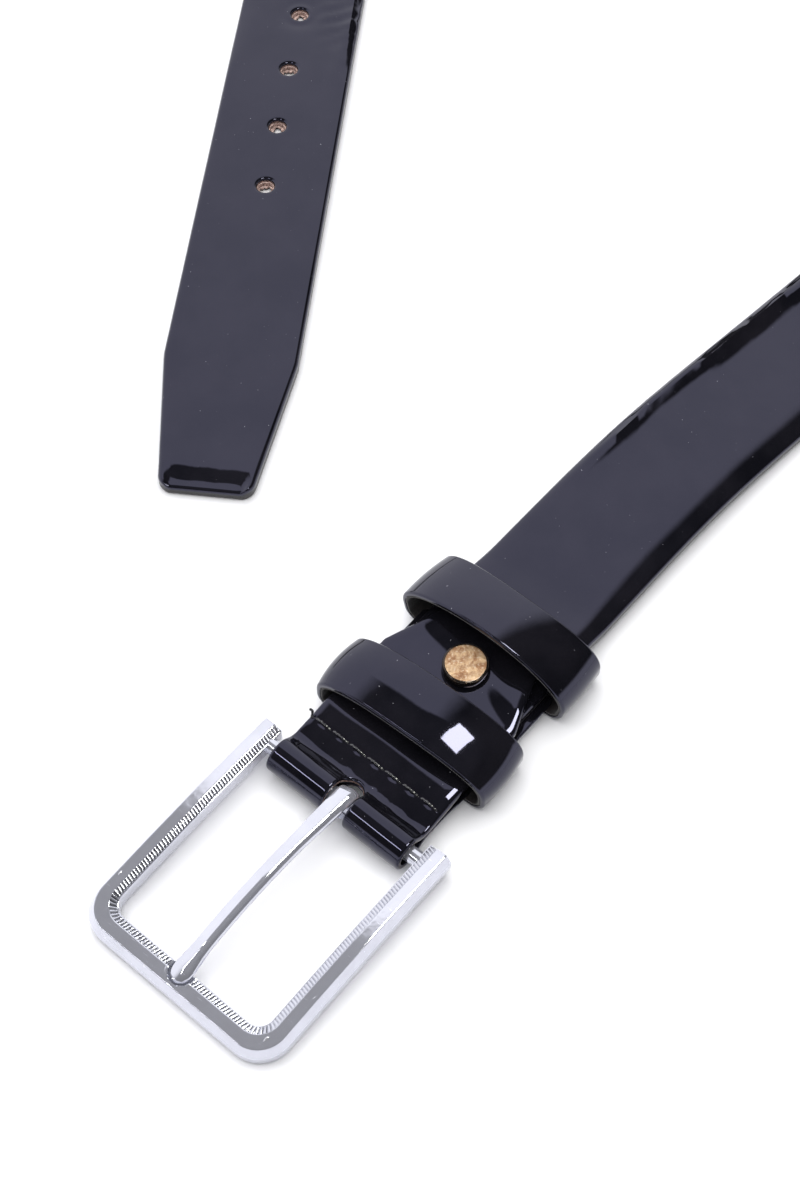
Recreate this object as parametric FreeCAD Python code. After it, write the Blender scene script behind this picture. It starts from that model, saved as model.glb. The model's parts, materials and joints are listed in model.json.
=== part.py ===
# Leather dress belt, laid out with its unseen part standing on edge in a loop.
# Millimetres, +Z up. Built round the buckle bar, then moved to the row origin.
import FreeCAD, Part
import math
import os

os.makedirs("parts", exist_ok=True)

V = FreeCAD.Vector

# ---- driving dimensions -------------------------------------------------
STRAP_W = 35.0
LAYERS = {"strap_lining": (0.0, 1.1), "strap_core": (1.12, 2.28), "strap_face": (2.3, 3.5)}
STRAP_T = 3.5
STRAP_START = 16.0            # strap end inside the billet, from the bar axis
STACK_BASE = 2.0              # underside of the folded billet
BILLET_T = 1.4
BILLET_W = 39.0
STACK_MID = STACK_BASE + BILLET_T + STRAP_T / 2
LOWER_FLAP_END = 52.0
UPPER_FLAP_END = 62.0
TAPER_START = 37.0            # billet's upper flap starts to narrow here
TAPER_ANGLE = 20.0
ROLL_R = 3.7                  # mid-thickness radius of the leather roll
SLOT_HALF = 3.1
SLOT_END = 6.0

BAR_R = 2.0
BAR_LENGTH = 51.0
RUNNING_CLEARANCE = 0.06

STEP_START, STEP_END = 63.0, 77.0        # strap comes down off the lower flap
SINK_START, SINK_END = 106.0, 195.0      # then down to the table
STRAP_LIFT = 2.0                          # strap underside along the keeper's travel
DRIFT_START, DRIFT_END = 72.0, 170.0
DRIFT_ANGLE = -5.5
TIP_HEADING = 213.6                       # direction of the strap at its tip
TIP_END = (42.9, 83.0)
LOOP_R = 138.0
LOOP_RAMP = 110.0                         # length over which the loop's curvature builds up
STAND_ANGLE = 78.0                        # tilt of the strap where it stands on edge
TWIST_LENGTH = 130.0
TWIST_START = 198.0                       # from the bar on one side, from the tip on the other
LOOP_STEPS = 72

TIP_END_HALF = 11.8
TIP_TAPER = 41.0
TIP_CORNER_R = 3.8
HOLE_R = 2.4
HOLE_FIRST = 101.2
HOLE_PITCH = 22.3
HOLE_COUNT = 5

STITCH_X = 11.0
STITCH_PITCH = 5.2
STITCH_COUNT = 8
PINCH = 1.1                   # flap's mid height over the stack's middle at the stitches
THREAD_R = 0.4

RIVET_X = 42.9
RIVET_HOLE_R = 2.25
RIVET_CAP_R = 5.45
RIVET_CAP_H = 2.4
INLAY_R = 4.85
INLAY_T = 0.7
INLAY_RECESS = 0.15           # inlay's top below the cap's rim
RIVET_POST_R = 1.5
RIVET_SOCKET = 0.9            # depth of the post's socket in the cap
RIVET_POST_LOW = 1.4          # post's foot above the stack's underside
RIVET_CAP_FILLET = 0.7
RIVET_FLANGE_R = 4.5
RIVET_FLANGE_T = 0.8

KEEPER_LENGTH = 15.5
KEEPER_SKINS = {"lining": (0.0, 0.65), "face": (0.65, 1.7)}
KEEPER_INNER_HALF = 21.5
KEEPER_TOPS = {"fixed": (12.8, 12.8), "free": (16.4, 12.6)}   # inner height at its two rims
KEEPER_T = 1.7
KEEPER_SHOULDER = 5.0         # height where the keeper's arch starts
KEEPER_BOTTOM_R = 2.2
KEEPER_ARCH_POWER = 2.6       # exponent of the arch's superellipse
STAPLE_W = 7.0
STAPLE_WIRE = 0.5
STAPLE_LOW = 0.05
STAPLE_HIGH = 1.5
JOINT_GAP = 0.3               # gap between the band's ends, under the strap
FIXED_KEEPER_X = 26.2
FIXED_KEEPER_INNER_HALF = 22.3
FIXED_KEEPER_YAW = 3.0
FREE_KEEPER_X = 56.6

FRAME_HALF_W = 28.0
FRAME_FRONT = -58.0
FRAME_BACK = 4.0
FRAME_T = 5.0
FRAME_CORNER_R = 8.5
WINDOW_HALF_W = 22.0
WINDOW_FRONT = -51.6
WINDOW_CORNER_R = 3.6
SIDE_FACET = 1.7
MILL_W = 1.9
MILL_DEPTH = 0.7
MILL_PITCH = 1.05
MILL_R = 0.4
ARCH_R = 450.0
ARCH_X = -26.0
FRAME_TILT = 2.15
NOTCH_R = 3.1
NOTCH_X = -52.9
NOTCH_DEPTH = 1.7
BAND_FRONT, BAND_BACK = -70.0, 20.0      # extent of the arched slab, beyond the frame
RIB_INSET, RIB_REACH = 0.08, 0.1         # rib ends from the milled strip's two sides
PRONG_W = 4.3
PRONG_ROOT_W = 5.0
PRONG_RING_R = 3.7


# ---- small helpers ------------------------------------------------------
def smooth(t):
    t = max(0.0, min(1.0, t))
    return t * t * t * (10.0 - 15.0 * t + 6.0 * t * t)


def block(x0, x1, y0, y1, z0, z1):
    return Part.makeBox(x1 - x0, y1 - y0, z1 - z0, V(x0, y0, z0))


def rod(radius, start, end):
    return Part.makeCylinder(radius, (end - start).Length, start, end - start)


def spline(points):
    curve = Part.BSplineCurve()
    curve.interpolate(Points=points)
    return curve.toShape()


def line(a, b):
    return Part.LineSegment(a, b).toShape()


def extruded(edges, direction):
    return Part.Face(Part.Wire(edges)).extrude(direction)


def fused(shapes):
    return shapes[0].multiFuse(shapes[1:]).removeSplitter()


# ---- strap --------------------------------------------------------------
def loop_heading_change():
    return math.radians(TIP_HEADING - DRIFT_ANGLE)


def loop_length():
    return LOOP_R * loop_heading_change() + LOOP_RAMP


def loop_heading(s):
    # curvature rises linearly over the ramp, holds, and falls again
    length = loop_length()
    k = 1.0 / LOOP_R
    if s < LOOP_RAMP:
        turned = k * s * s / (2.0 * LOOP_RAMP)
    elif s < length - LOOP_RAMP:
        turned = k * (s - LOOP_RAMP / 2.0)
    else:
        left = length - s
        turned = k * (length - LOOP_RAMP) - k * left * left / (2.0 * LOOP_RAMP)
    return math.radians(DRIFT_ANGLE) + turned


def walk(start, heading, length, steps):
    # points along a plane path given by its heading at each length
    x, y = start
    ds = length / steps
    path = [(x, y, heading(0.0))]
    for i in range(steps):
        mid = heading((i + 0.5) * ds)
        x += ds * math.cos(mid)
        y += ds * math.sin(mid)
        path.append((x, y, heading((i + 1) * ds)))
    return path


def straight_lengths(drift_end):
    # the two straight runs either side of the loop that close it on the tip
    loop = walk((0.0, 0.0), loop_heading, loop_length(), LOOP_STEPS)
    h0 = math.radians(DRIFT_ANGLE)
    h1 = math.radians(TIP_HEADING)
    dx = TIP_END[0] - drift_end[0] - loop[-1][0]
    dy = TIP_END[1] - drift_end[1] - loop[-1][1]
    det = math.cos(h0) * math.sin(h1) - math.sin(h0) * math.cos(h1)
    first = (dx * math.sin(h1) - dy * math.cos(h1)) / det
    last = (math.cos(h0) * dy - math.sin(h0) * dx) / det
    return first, last


def strap_path():
    # (x, y, heading) every few millimetres from STEP_START to the flat tip
    def drift(s):
        t = (s + STEP_START - DRIFT_START) / (DRIFT_END - DRIFT_START)
        return math.radians(DRIFT_ANGLE) * smooth(t)
    first = walk((STEP_START, 0.0), drift, DRIFT_END - STEP_START, 24)
    run_a, run_b = straight_lengths(first[-1])
    second = walk(first[-1][:2], lambda s: first[-1][2], run_a, 12)
    third = walk(second[-1][:2], loop_heading, loop_length(), LOOP_STEPS)
    last_run = run_b - TWIST_START
    fourth = walk(third[-1][:2], lambda s: math.radians(TIP_HEADING), last_run, 10)
    print("straight runs", run_a, run_b)
    return first + second[1:] + third[1:] + fourth[1:]


def strap_stations():
    # centre point, width direction and thickness direction at each station
    path = strap_path()
    lengths = [STEP_START]
    for a, b in zip(path, path[1:]):
        lengths.append(lengths[-1] + math.hypot(b[0] - a[0], b[1] - a[1]))
    total = lengths[-1]
    print("bar to tip", total + TWIST_START)
    stations = []
    for (x, y, heading), s in zip(path, lengths):
        rise = smooth((s - TWIST_START) / TWIST_LENGTH)
        fall = smooth((total - s) / TWIST_LENGTH)
        tilt = math.radians(STAND_ANGLE) * min(rise, fall)
        step = STACK_BASE + BILLET_T - STRAP_LIFT
        lift = STRAP_LIFT + step * (1.0 - smooth((s - STEP_START) / (STEP_END - STEP_START)))
        lift *= 1.0 - smooth((s - SINK_START) / (SINK_END - SINK_START))
        z = lift + STRAP_W / 2 * math.sin(tilt) + STRAP_T / 2 * math.cos(tilt)
        left = V(-math.sin(heading), math.cos(heading), 0)
        across = left * math.cos(tilt) + V(0, 0, math.sin(tilt))
        out = left * -math.sin(tilt) + V(0, 0, math.cos(tilt))
        stations.append((V(x, y, z), across, out, s))
    return stations


def ribbon(stations, low, high):
    # one layer of the strap between two depths, lofted through its cross-sections
    sections = []
    for centre, across, out, _ in stations:
        ring = []
        for side, depth in ((-1, low), (1, low), (1, high), (-1, high)):
            ring.append(centre + across * (side * STRAP_W / 2) + out * (depth - STRAP_T / 2))
        sections.append(Part.makePolygon(ring + ring[:1]))
    return Part.makeLoft(sections, True, False)


def strap_head(low, high):
    # straight end held between the billet's flaps
    z = STACK_BASE + BILLET_T
    body = block(STRAP_START, STEP_START, -STRAP_W / 2, STRAP_W / 2, z + low, z + high)
    return body.cut(rod(RIVET_HOLE_R, V(RIVET_X, 0, 0), V(RIVET_X, 0, 20)))


def tip_outline():
    # plan of the flat tip, end at x = 0 and strap running to +x
    half = STRAP_W / 2
    slope = math.atan2(half - TIP_END_HALF, TIP_TAPER)
    turn = math.pi / 2 - slope
    reach = TIP_CORNER_R * math.tan(turn / 2)
    side = V(math.cos(slope), math.sin(slope), 0)
    p_end = V(0, TIP_END_HALF - reach, 0)
    p_side = V(0, TIP_END_HALF, 0) + side * reach
    centre = V(TIP_CORNER_R, TIP_END_HALF - reach, 0)
    toward = V(0, TIP_END_HALF, 0) - centre
    p_mid = centre + toward.normalize() * TIP_CORNER_R
    half_line = [p_end, p_mid, p_side, V(TIP_TAPER, half, 0), V(TWIST_START, half, 0)]
    other = [V(p.x, -p.y, 0) for p in half_line]
    edges = [line(other[0], p_end), Part.Arc(p_end, p_mid, p_side).toShape()]
    edges += [line(p_side, half_line[3]), line(half_line[3], half_line[4])]
    edges += [line(half_line[4], other[4]), line(other[4], other[3])]
    edges += [line(other[3], other[2]), Part.Arc(other[2], other[1], other[0]).toShape()]
    return edges


def strap_tip(low, high):
    plate = extruded(tip_outline(), V(0, 0, high - low))
    for i in range(HOLE_COUNT):
        x = HOLE_FIRST + i * HOLE_PITCH
        plate = plate.cut(rod(HOLE_R, V(x, 0, -1), V(x, 0, STRAP_T + 1)))
    plate.translate(V(0, 0, low))
    plate.rotate(V(0, 0, 0), V(0, 0, 1), TIP_HEADING - 180.0)
    plate.translate(V(TIP_END[0], TIP_END[1], 0))
    return plate


def strap_layers():
    stations = strap_stations()
    layers = {}
    for name, (low, high) in LAYERS.items():
        pieces = [strap_head(low, high), ribbon(stations, low, high), strap_tip(low, high)]
        layers[name] = fused(pieces)
    return layers


# ---- billet -------------------------------------------------------------
def billet_midline():
    # half of the folded leather's mid-thickness line, height from the stack's middle
    points = []
    for degrees in range(180, 50, -15):
        a = math.radians(degrees)
        points.append((ROLL_R * math.cos(a) - 0.2, ROLL_R * math.sin(a)))
    full = (STRAP_T + BILLET_T) / 2
    points += [(2.5, 2.55), (3.3, 1.85), (4.3, 1.22), (5.6, 0.87), (7.2, 0.86), (9.2, 0.98)]
    points += [(STITCH_X, PINCH)]
    points += [(12.4, PINCH + 0.22), (13.6, PINCH + 0.6), (14.8, full - 0.28), (16.2, full - 0.05)]
    points += [(17.5, full), (19.0, full)]
    return points


def offset_points(points, distance):
    # shifted along the local normal, away from the fold's inside when positive
    moved = []
    for i, (x, z) in enumerate(points):
        a = points[max(i - 1, 0)]
        b = points[min(i + 1, len(points) - 1)]
        tx, tz = b[0] - a[0], b[1] - a[1]
        if i == 0:
            tx, tz = 0.0, 1.0
        if i == len(points) - 1:
            tx, tz = 1.0, 0.0
        size = math.hypot(tx, tz)
        moved.append((x - distance * tz / size, z + distance * tx / size))
    return moved


def fold_side(distance):
    half = offset_points(billet_midline(), distance)
    under = [V(x, 0, STACK_MID - z) for x, z in reversed(half)]
    over = [V(x, 0, STACK_MID + z) for x, z in half[1:]]
    return under + over


def billet():
    outer = fold_side(BILLET_T / 2)
    inner = fold_side(-BILLET_T / 2)
    top_z, bottom_z = outer[-1].z, outer[0].z
    up_in, low_in = inner[-1].z, inner[0].z
    edges = [spline(outer), line(outer[-1], V(UPPER_FLAP_END, 0, top_z))]
    edges.append(line(V(UPPER_FLAP_END, 0, top_z), V(UPPER_FLAP_END, 0, up_in)))
    edges += [line(V(UPPER_FLAP_END, 0, up_in), inner[-1]), spline(inner)]
    edges.append(line(inner[0], V(LOWER_FLAP_END, 0, low_in)))
    edges.append(line(V(LOWER_FLAP_END, 0, low_in), V(LOWER_FLAP_END, 0, bottom_z)))
    edges.append(line(V(LOWER_FLAP_END, 0, bottom_z), outer[0]))
    body = extruded(Part.__sortEdges__(edges), V(0, BILLET_W, 0))
    body.translate(V(0, -BILLET_W / 2, 0))
    half = BILLET_W / 2
    reach = UPPER_FLAP_END - TAPER_START
    narrow = half - reach * math.tan(math.radians(TAPER_ANGLE))
    for side in (-1, 1):
        corner = [V(TAPER_START, side * half, STACK_MID), V(UPPER_FLAP_END, side * narrow, STACK_MID)]
        corner += [V(80, side * narrow, STACK_MID), V(80, side * 30, STACK_MID)]
        corner += [V(TAPER_START, side * 30, STACK_MID)]
        body = body.cut(Part.Face(Part.makePolygon(corner + corner[:1])).extrude(V(0, 0, 10)))
    slot = block(-10, SLOT_END - SLOT_HALF, -SLOT_HALF, SLOT_HALF, 0, 12)
    slot = slot.fuse(rod(SLOT_HALF, V(SLOT_END - SLOT_HALF, 0, 0), V(SLOT_END - SLOT_HALF, 0, 12)))
    body = body.cut(slot)
    for y in stitch_places():
        body = body.cut(rod(THREAD_R, V(STITCH_X, y, 0), V(STITCH_X, y, 12)))
    body = body.cut(rod(RIVET_HOLE_R, V(RIVET_X, 0, 0), V(RIVET_X, 0, 12)))
    return body.cut(rivet_flange())


def stitch_places():
    first = -STITCH_PITCH * (STITCH_COUNT - 1) / 2
    return [first + i * STITCH_PITCH for i in range(STITCH_COUNT)]


def billet_thread():
    # one thread up and down through the stitch holes
    reach = PINCH + BILLET_T / 2 + THREAD_R / 2
    high, low = STACK_MID + reach, STACK_MID - reach
    places = stitch_places()
    shapes = []
    for y in places:
        shapes.append(rod(THREAD_R, V(STITCH_X, y, low), V(STITCH_X, y, high)))
        shapes.append(Part.makeSphere(THREAD_R, V(STITCH_X, y, low)))
        shapes.append(Part.makeSphere(THREAD_R, V(STITCH_X, y, high)))
    for a, b in zip(places, places[1:]):
        for z in (low, high):
            shapes.append(rod(THREAD_R, V(STITCH_X, a, z), V(STITCH_X, b, z)))
    return fused(shapes)


# ---- rivet --------------------------------------------------------------
def rivet_flange():
    return rod(RIVET_FLANGE_R, V(RIVET_X, 0, STACK_BASE), V(RIVET_X, 0, STACK_BASE + RIVET_FLANGE_T))


def rivet():
    top = STACK_BASE + 2 * BILLET_T + STRAP_T
    cap = rod(RIVET_CAP_R, V(RIVET_X, 0, top), V(RIVET_X, 0, top + RIVET_CAP_H))
    rims = [e for e in cap.Edges if abs(e.BoundBox.ZMin - top - RIVET_CAP_H) < 0.01]
    cap = cap.makeFillet(RIVET_CAP_FILLET, [e for e in rims if e.BoundBox.XLength > 1])
    seat = top + RIVET_CAP_H - INLAY_T
    cap = cap.cut(rod(INLAY_R, V(RIVET_X, 0, seat), V(RIVET_X, 0, seat + 5)))
    cap = cap.cut(rod(RIVET_POST_R, V(RIVET_X, 0, top), V(RIVET_X, 0, top + RIVET_SOCKET)))
    inlay = rod(INLAY_R, V(RIVET_X, 0, seat), V(RIVET_X, 0, seat + INLAY_T - INLAY_RECESS))
    post_low = STACK_BASE + RIVET_POST_LOW
    post = rod(RIVET_POST_R, V(RIVET_X, 0, post_low), V(RIVET_X, 0, top + RIVET_SOCKET))
    barrel = rod(RIVET_HOLE_R, V(RIVET_X, 0, STACK_BASE + RIVET_FLANGE_T / 2), V(RIVET_X, 0, top))
    base = rivet_flange().fuse(barrel).removeSplitter()
    base = base.cut(rod(RIVET_POST_R, V(RIVET_X, 0, post_low), V(RIVET_X, 0, top + 1)))
    return {"rivet_cap": cap, "rivet_inlay": inlay, "rivet_post": post, "rivet_base": base}


# ---- keepers ------------------------------------------------------------
def keeper_section(inner_half, inner_top, skin, x):
    # closed outline across the strap, a given depth outside the keeper's inner surface
    half = inner_half + skin
    floor = KEEPER_T - skin
    top = inner_top + skin
    shoulder = KEEPER_SHOULDER
    r = KEEPER_BOTTOM_R + 0.6 * skin
    power = 2.0 / KEEPER_ARCH_POWER
    arch = []
    for i in range(25):
        a = math.pi * i / 24
        c, s = math.cos(a), math.sin(a)
        y = half * math.copysign(abs(c) ** power, c)
        arch.append(V(x, y, shoulder + (top - shoulder) * abs(s) ** power))
    bend = r * (1 - math.sqrt(0.5))
    edges = [spline(arch)]
    edges.append(line(V(x, -half, shoulder), V(x, -half, floor + r)))
    mid = V(x, -half + bend, floor + bend)
    edges.append(Part.Arc(V(x, -half, floor + r), mid, V(x, -half + r, floor)).toShape())
    edges.append(line(V(x, -half + r, floor), V(x, half - r, floor)))
    mid = V(x, half - bend, floor + bend)
    edges.append(Part.Arc(V(x, half - r, floor), mid, V(x, half, floor + r)).toShape())
    edges.append(line(V(x, half, floor + r), V(x, half, shoulder)))
    return Part.Wire(edges)


def keeper_hull(centre, half, tops, depth):
    # filled loop outline carried from one rim to the other
    rims = []
    for x, top in zip((centre - KEEPER_LENGTH / 2, centre + KEEPER_LENGTH / 2), tops):
        rims.append(keeper_section(half, top, depth, x))
    return Part.makeLoft(rims, True, True)


def keeper(name, centre, lift, half, tops, yaw):
    low, wire = STAPLE_LOW, STAPLE_WIRE / 2
    front, back = centre - wire, centre + wire
    legs = [block(front, back, -STAPLE_W / 2, STAPLE_W / 2, low, low + STAPLE_WIRE)]
    for side in (-1, 1):
        y = side * (STAPLE_W / 2 - wire)
        legs.append(block(front, back, y - wire, y + wire, low, STAPLE_HIGH))
    staple = fused(legs)
    front, back = centre - KEEPER_LENGTH, centre + KEEPER_LENGTH
    joint = block(front, back, -JOINT_GAP / 2, JOINT_GAP / 2, -1, KEEPER_T + 1)
    pieces = {}
    for skin, (inside, outside) in KEEPER_SKINS.items():
        ring = keeper_hull(centre, half, tops, outside).cut(keeper_hull(centre, half, tops, inside))
        pieces[name + "_" + skin] = ring.cut(joint).cut(staple)
    pieces[name + "_staple"] = staple
    for shape in pieces.values():
        shape.translate(V(0, 0, lift))
        shape.rotate(V(centre, 0, 0), V(0, 0, 1), yaw)
    return pieces


# ---- buckle -------------------------------------------------------------
def rounded_u(half, front, back, radius, z):
    # plan of a rectangle with two rounded front corners
    bend = radius * (1 - math.sqrt(0.5))
    turn = front + radius
    side = half - radius
    mid_x, mid_y = front + bend, half - bend
    left = Part.Arc(V(turn, -half, z), V(mid_x, -mid_y, z), V(front, -side, z))
    right = Part.Arc(V(front, side, z), V(mid_x, mid_y, z), V(turn, half, z))
    edges = [line(V(back, half, z), V(back, -half, z)), line(V(back, -half, z), V(turn, -half, z))]
    edges += [left.toShape(), line(V(front, -side, z), V(front, side, z))]
    edges += [right.toShape(), line(V(turn, half, z), V(back, half, z))]
    return Part.Wire(edges)


def arch_height(x):
    # height of the frame's arched mid-surface above the bar axis
    return math.sqrt(ARCH_R ** 2 - (x - ARCH_X) ** 2) - math.sqrt(ARCH_R ** 2 - ARCH_X ** 2)


def arched_band(low, high):
    # slab bent about the bar's direction, between two depths from the mid-surface
    drop = math.sqrt(ARCH_R ** 2 - ARCH_X ** 2)
    edges = []
    ends = []
    for depth in (low, high):
        radius = ARCH_R + depth
        arc = []
        for x in (BAND_FRONT, ARCH_X, BAND_BACK):
            arc.append(V(x, -40, math.sqrt(radius ** 2 - (x - ARCH_X) ** 2) - drop))
        edges.append(Part.Arc(*arc).toShape())
        ends.append((arc[0], arc[2]))
    edges += [line(ends[0][1], ends[1][1]), line(ends[0][0], ends[1][0])]
    return extruded(Part.__sortEdges__(edges), V(0, 80, 0))


def milling_places():
    # position and direction across the milled strip, round the window's three sides
    middle = MILL_W / 2
    places = []
    arm = FRAME_BACK - (WINDOW_FRONT + WINDOW_CORNER_R)
    count = int(arm / MILL_PITCH)
    for i in range(count):
        x = FRAME_BACK - 0.6 - i * MILL_PITCH
        for side in (-1, 1):
            places.append((x, side * (WINDOW_HALF_W + middle), 0.0, float(side)))
    span = WINDOW_HALF_W - WINDOW_CORNER_R
    count = int(2 * span / MILL_PITCH)
    for i in range(count + 1):
        y = -span + 2 * span * i / count
        if abs(y) > NOTCH_R + 0.3:
            places.append((WINDOW_FRONT - middle, y, -1.0, 0.0))
    for side in (-1, 1):
        for i in range(1, 6):
            a = math.pi / 2 * i / 6
            c, s = -math.cos(a), side * math.sin(a)
            reach = WINDOW_CORNER_R + middle
            x = WINDOW_FRONT + WINDOW_CORNER_R + reach * c
            places.append((x, side * span + reach * s, c, s))
    return places


def milling():
    ribs = []
    for x, y, c, s in milling_places():
        z = arch_height(x) + FRAME_T / 2 - MILL_DEPTH
        near = MILL_W / 2 - RIB_INSET
        far = MILL_W / 2 + RIB_REACH
        a = V(x - c * near, y - s * near, z)
        b = V(x + c * far, y + s * far, z)
        ribs.append(rod(MILL_R, a, b))
    return ribs


def buckle_frame():
    half_t = FRAME_T / 2
    lower = Part.Face(rounded_u(FRAME_HALF_W, FRAME_FRONT, FRAME_BACK, FRAME_CORNER_R, -8))
    lower = lower.extrude(V(0, 0, 8.5))
    wide = rounded_u(FRAME_HALF_W, FRAME_FRONT, FRAME_BACK, FRAME_CORNER_R, 0.5)
    inset = SIDE_FACET * 2.0
    tight = rounded_u(FRAME_HALF_W - inset, FRAME_FRONT + inset, FRAME_BACK - 0.001,
                      FRAME_CORNER_R - inset, 5.5)
    body = lower.fuse(Part.makeLoft([wide, tight], True, True))
    body = body.common(arched_band(-half_t, half_t))
    window = Part.Face(rounded_u(WINDOW_HALF_W, WINDOW_FRONT, BAND_BACK, WINDOW_CORNER_R, -10))
    body = body.cut(window.extrude(V(0, 0, 20)))
    wide, front, radius = WINDOW_HALF_W + MILL_W, WINDOW_FRONT - MILL_W, WINDOW_CORNER_R + MILL_W
    channel = Part.Face(rounded_u(wide, front, BAND_BACK, radius, -10)).extrude(V(0, 0, 20))
    body = body.cut(channel.common(arched_band(half_t - MILL_DEPTH, half_t + 5)))
    body = body.multiFuse(milling())
    top = arch_height(NOTCH_X) + half_t
    body = body.cut(rod(NOTCH_R, V(NOTCH_X, 0, top - NOTCH_DEPTH), V(NOTCH_X, 0, top + 5)))
    bar = rod(BAR_R, V(0, -BAR_LENGTH / 2, 0), V(0, BAR_LENGTH / 2, 0))
    return body.cut(bar), bar


def prong():
    top = [V(0, 0, PRONG_RING_R), V(-4, 0, 4.0), V(-12, 0, 4.9), V(-24, 0, 5.6), V(-36, 0, 4.9)]
    top += [V(-46, 0, 2.8), V(-52, 0, 1.0), V(-55.0, 0, -0.3)]
    low = [V(-55.2, 0, -1.05), V(-53.5, 0, -0.95), V(-50.5, 0, -0.25), V(-44, 0, 1.2), V(-35, 0, 2.9)]
    low += [V(-24, 0, 3.6), V(-12, 0, 2.9), V(-3.3, 0, 1.2)]
    edges = [spline(top), line(top[-1], low[0]), spline(low), line(low[-1], V(0, 0, 0))]
    edges.append(line(V(0, 0, 0), top[0]))
    shank = extruded(Part.__sortEdges__(edges), V(0, 10, 0))
    shank.translate(V(0, -5, 0))
    w, root = PRONG_W / 2, PRONG_ROOT_W / 2
    side = [V(4, root, -9), V(-5, root, -9), V(-16, w, -9), V(-47, w, -9), V(-51.5, w + 0.25, -9)]
    side += [V(-54.2, w - 0.3, -9), V(-55.4, 0, -9)]
    other = [V(p.x, -p.y, p.z) for p in reversed(side[:-1])]
    plan = Part.Face(Part.makePolygon(side + other + side[:1])).extrude(V(0, 0, 30))
    shank = shank.common(plan)
    ring = rod(PRONG_RING_R, V(0, -root, 0), V(0, root, 0))
    body = shank.fuse(ring)
    body = body.cut(rod(BAR_R + RUNNING_CLEARANCE, V(0, -9, 0), V(0, 9, 0)))
    return body.removeSplitter()


def buckle():
    frame, bar = buckle_frame()
    frame.rotate(V(0, 0, 0), V(0, 1, 0), -FRAME_TILT)
    pieces = {"buckle_frame": frame, "buckle_bar": bar, "prong": prong()}
    for shape in pieces.values():
        shape.translate(V(0, 0, STACK_MID))
    return pieces


# ---- assembly -----------------------------------------------------------
def build():
    nodes = strap_layers()
    nodes["billet"] = billet()
    nodes["billet_thread"] = billet_thread()
    nodes.update(rivet())
    lift = STACK_BASE - KEEPER_T
    half, yaw = FIXED_KEEPER_INNER_HALF, FIXED_KEEPER_YAW
    nodes.update(keeper("fixed_keeper", FIXED_KEEPER_X, lift, half, KEEPER_TOPS["fixed"], yaw))
    half, tops = KEEPER_INNER_HALF, KEEPER_TOPS["free"]
    nodes.update(keeper("free_keeper", FREE_KEEPER_X, 0.0, half, tops, 0.0))
    nodes.update(buckle())
    return nodes


nodes = build()
box = Part.makeCompound(list(nodes.values())).optimalBoundingBox(False)
shift = V(-(box.XMin + box.XMax) / 2, -(box.YMin + box.YMax) / 2, -box.ZMin)
print("shift", shift, "size", box.XLength, box.YLength, box.ZLength)
for name, shape in nodes.items():
    shape.translate(shift)
    print(name, "solids", len(shape.Solids), "valid", shape.isValid(), "volume", round(shape.Volume, 2))
    shape.exportStep("parts/" + name + ".step")
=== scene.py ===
# Leather dress belt: patent strap, folded billet, chrome buckle, keepers and stud rivet.
import json
import math
import bpy
import numpy as np
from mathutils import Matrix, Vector


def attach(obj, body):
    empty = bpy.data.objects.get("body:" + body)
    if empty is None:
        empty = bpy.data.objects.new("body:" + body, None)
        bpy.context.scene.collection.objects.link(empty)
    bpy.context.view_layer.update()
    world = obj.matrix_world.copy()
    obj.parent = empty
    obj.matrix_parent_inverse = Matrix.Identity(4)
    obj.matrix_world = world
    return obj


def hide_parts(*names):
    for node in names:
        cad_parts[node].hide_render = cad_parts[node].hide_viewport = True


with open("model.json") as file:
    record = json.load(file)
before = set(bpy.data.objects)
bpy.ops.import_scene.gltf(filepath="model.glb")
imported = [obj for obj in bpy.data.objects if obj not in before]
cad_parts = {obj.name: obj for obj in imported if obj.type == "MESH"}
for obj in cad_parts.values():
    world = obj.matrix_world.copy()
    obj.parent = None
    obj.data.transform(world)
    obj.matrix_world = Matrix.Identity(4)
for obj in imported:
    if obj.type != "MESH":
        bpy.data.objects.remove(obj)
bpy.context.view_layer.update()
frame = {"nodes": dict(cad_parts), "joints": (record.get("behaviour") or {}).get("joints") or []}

# ---- the belt's own sizes, millimetres from the buckle bar's axis over the table ----
MM = 0.001
HINGE = next(j for j in frame["joints"] if j["name"] == "buckle_hinge")["pos_m"]
BAR_Z = 5.15
ORIGIN = np.array([HINGE[0], HINGE[1], HINGE[2] - BAR_Z * MM])

STRAP_W = 35.0
STRAP_T = 3.5
STRAP_START = 16.0
STACK_BASE = 2.0
BILLET_T = 1.4
STACK_TOP = STACK_BASE + 2 * BILLET_T + STRAP_T
STEP_START, STEP_END = 63.0, 77.0
SINK_START, SINK_END = 106.0, 195.0
STRAP_LIFT = 2.0
DRIFT_START, DRIFT_END = 72.0, 170.0
DRIFT_ANGLE = -5.5
TIP_HEADING = 213.6
TIP_END = np.array([42.9, 83.0])
LOOP_R = 138.0
LOOP_RAMP = 110.0
STAND_ANGLE = 78.0
TWIST_LENGTH = 130.0
TWIST_START = 198.0
TIP_END_HALF = 11.8
TIP_TAPER = 41.0
TIP_CORNER_R = 3.8
HOLE_R = 2.4
HOLE_FIRST = 101.2
HOLE_PITCH = 22.3
HOLE_COUNT = 5
RIVET_X = 42.9


def smooth(t):
    """Quintic step from 0 to 1, level at both ends."""
    t = np.clip(t, 0.0, 1.0)
    return t * t * t * (10.0 - 15.0 * t + 6.0 * t * t)


def bell(distance, width):
    """One at distance 0, falling away to nothing over a width or two."""
    return np.exp(-(distance / width) ** 2)


def unit(vectors):
    """The same rows, each scaled to length 1."""
    return vectors / np.maximum(np.linalg.norm(vectors, axis=1), 1e-6)[:, None]


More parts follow.
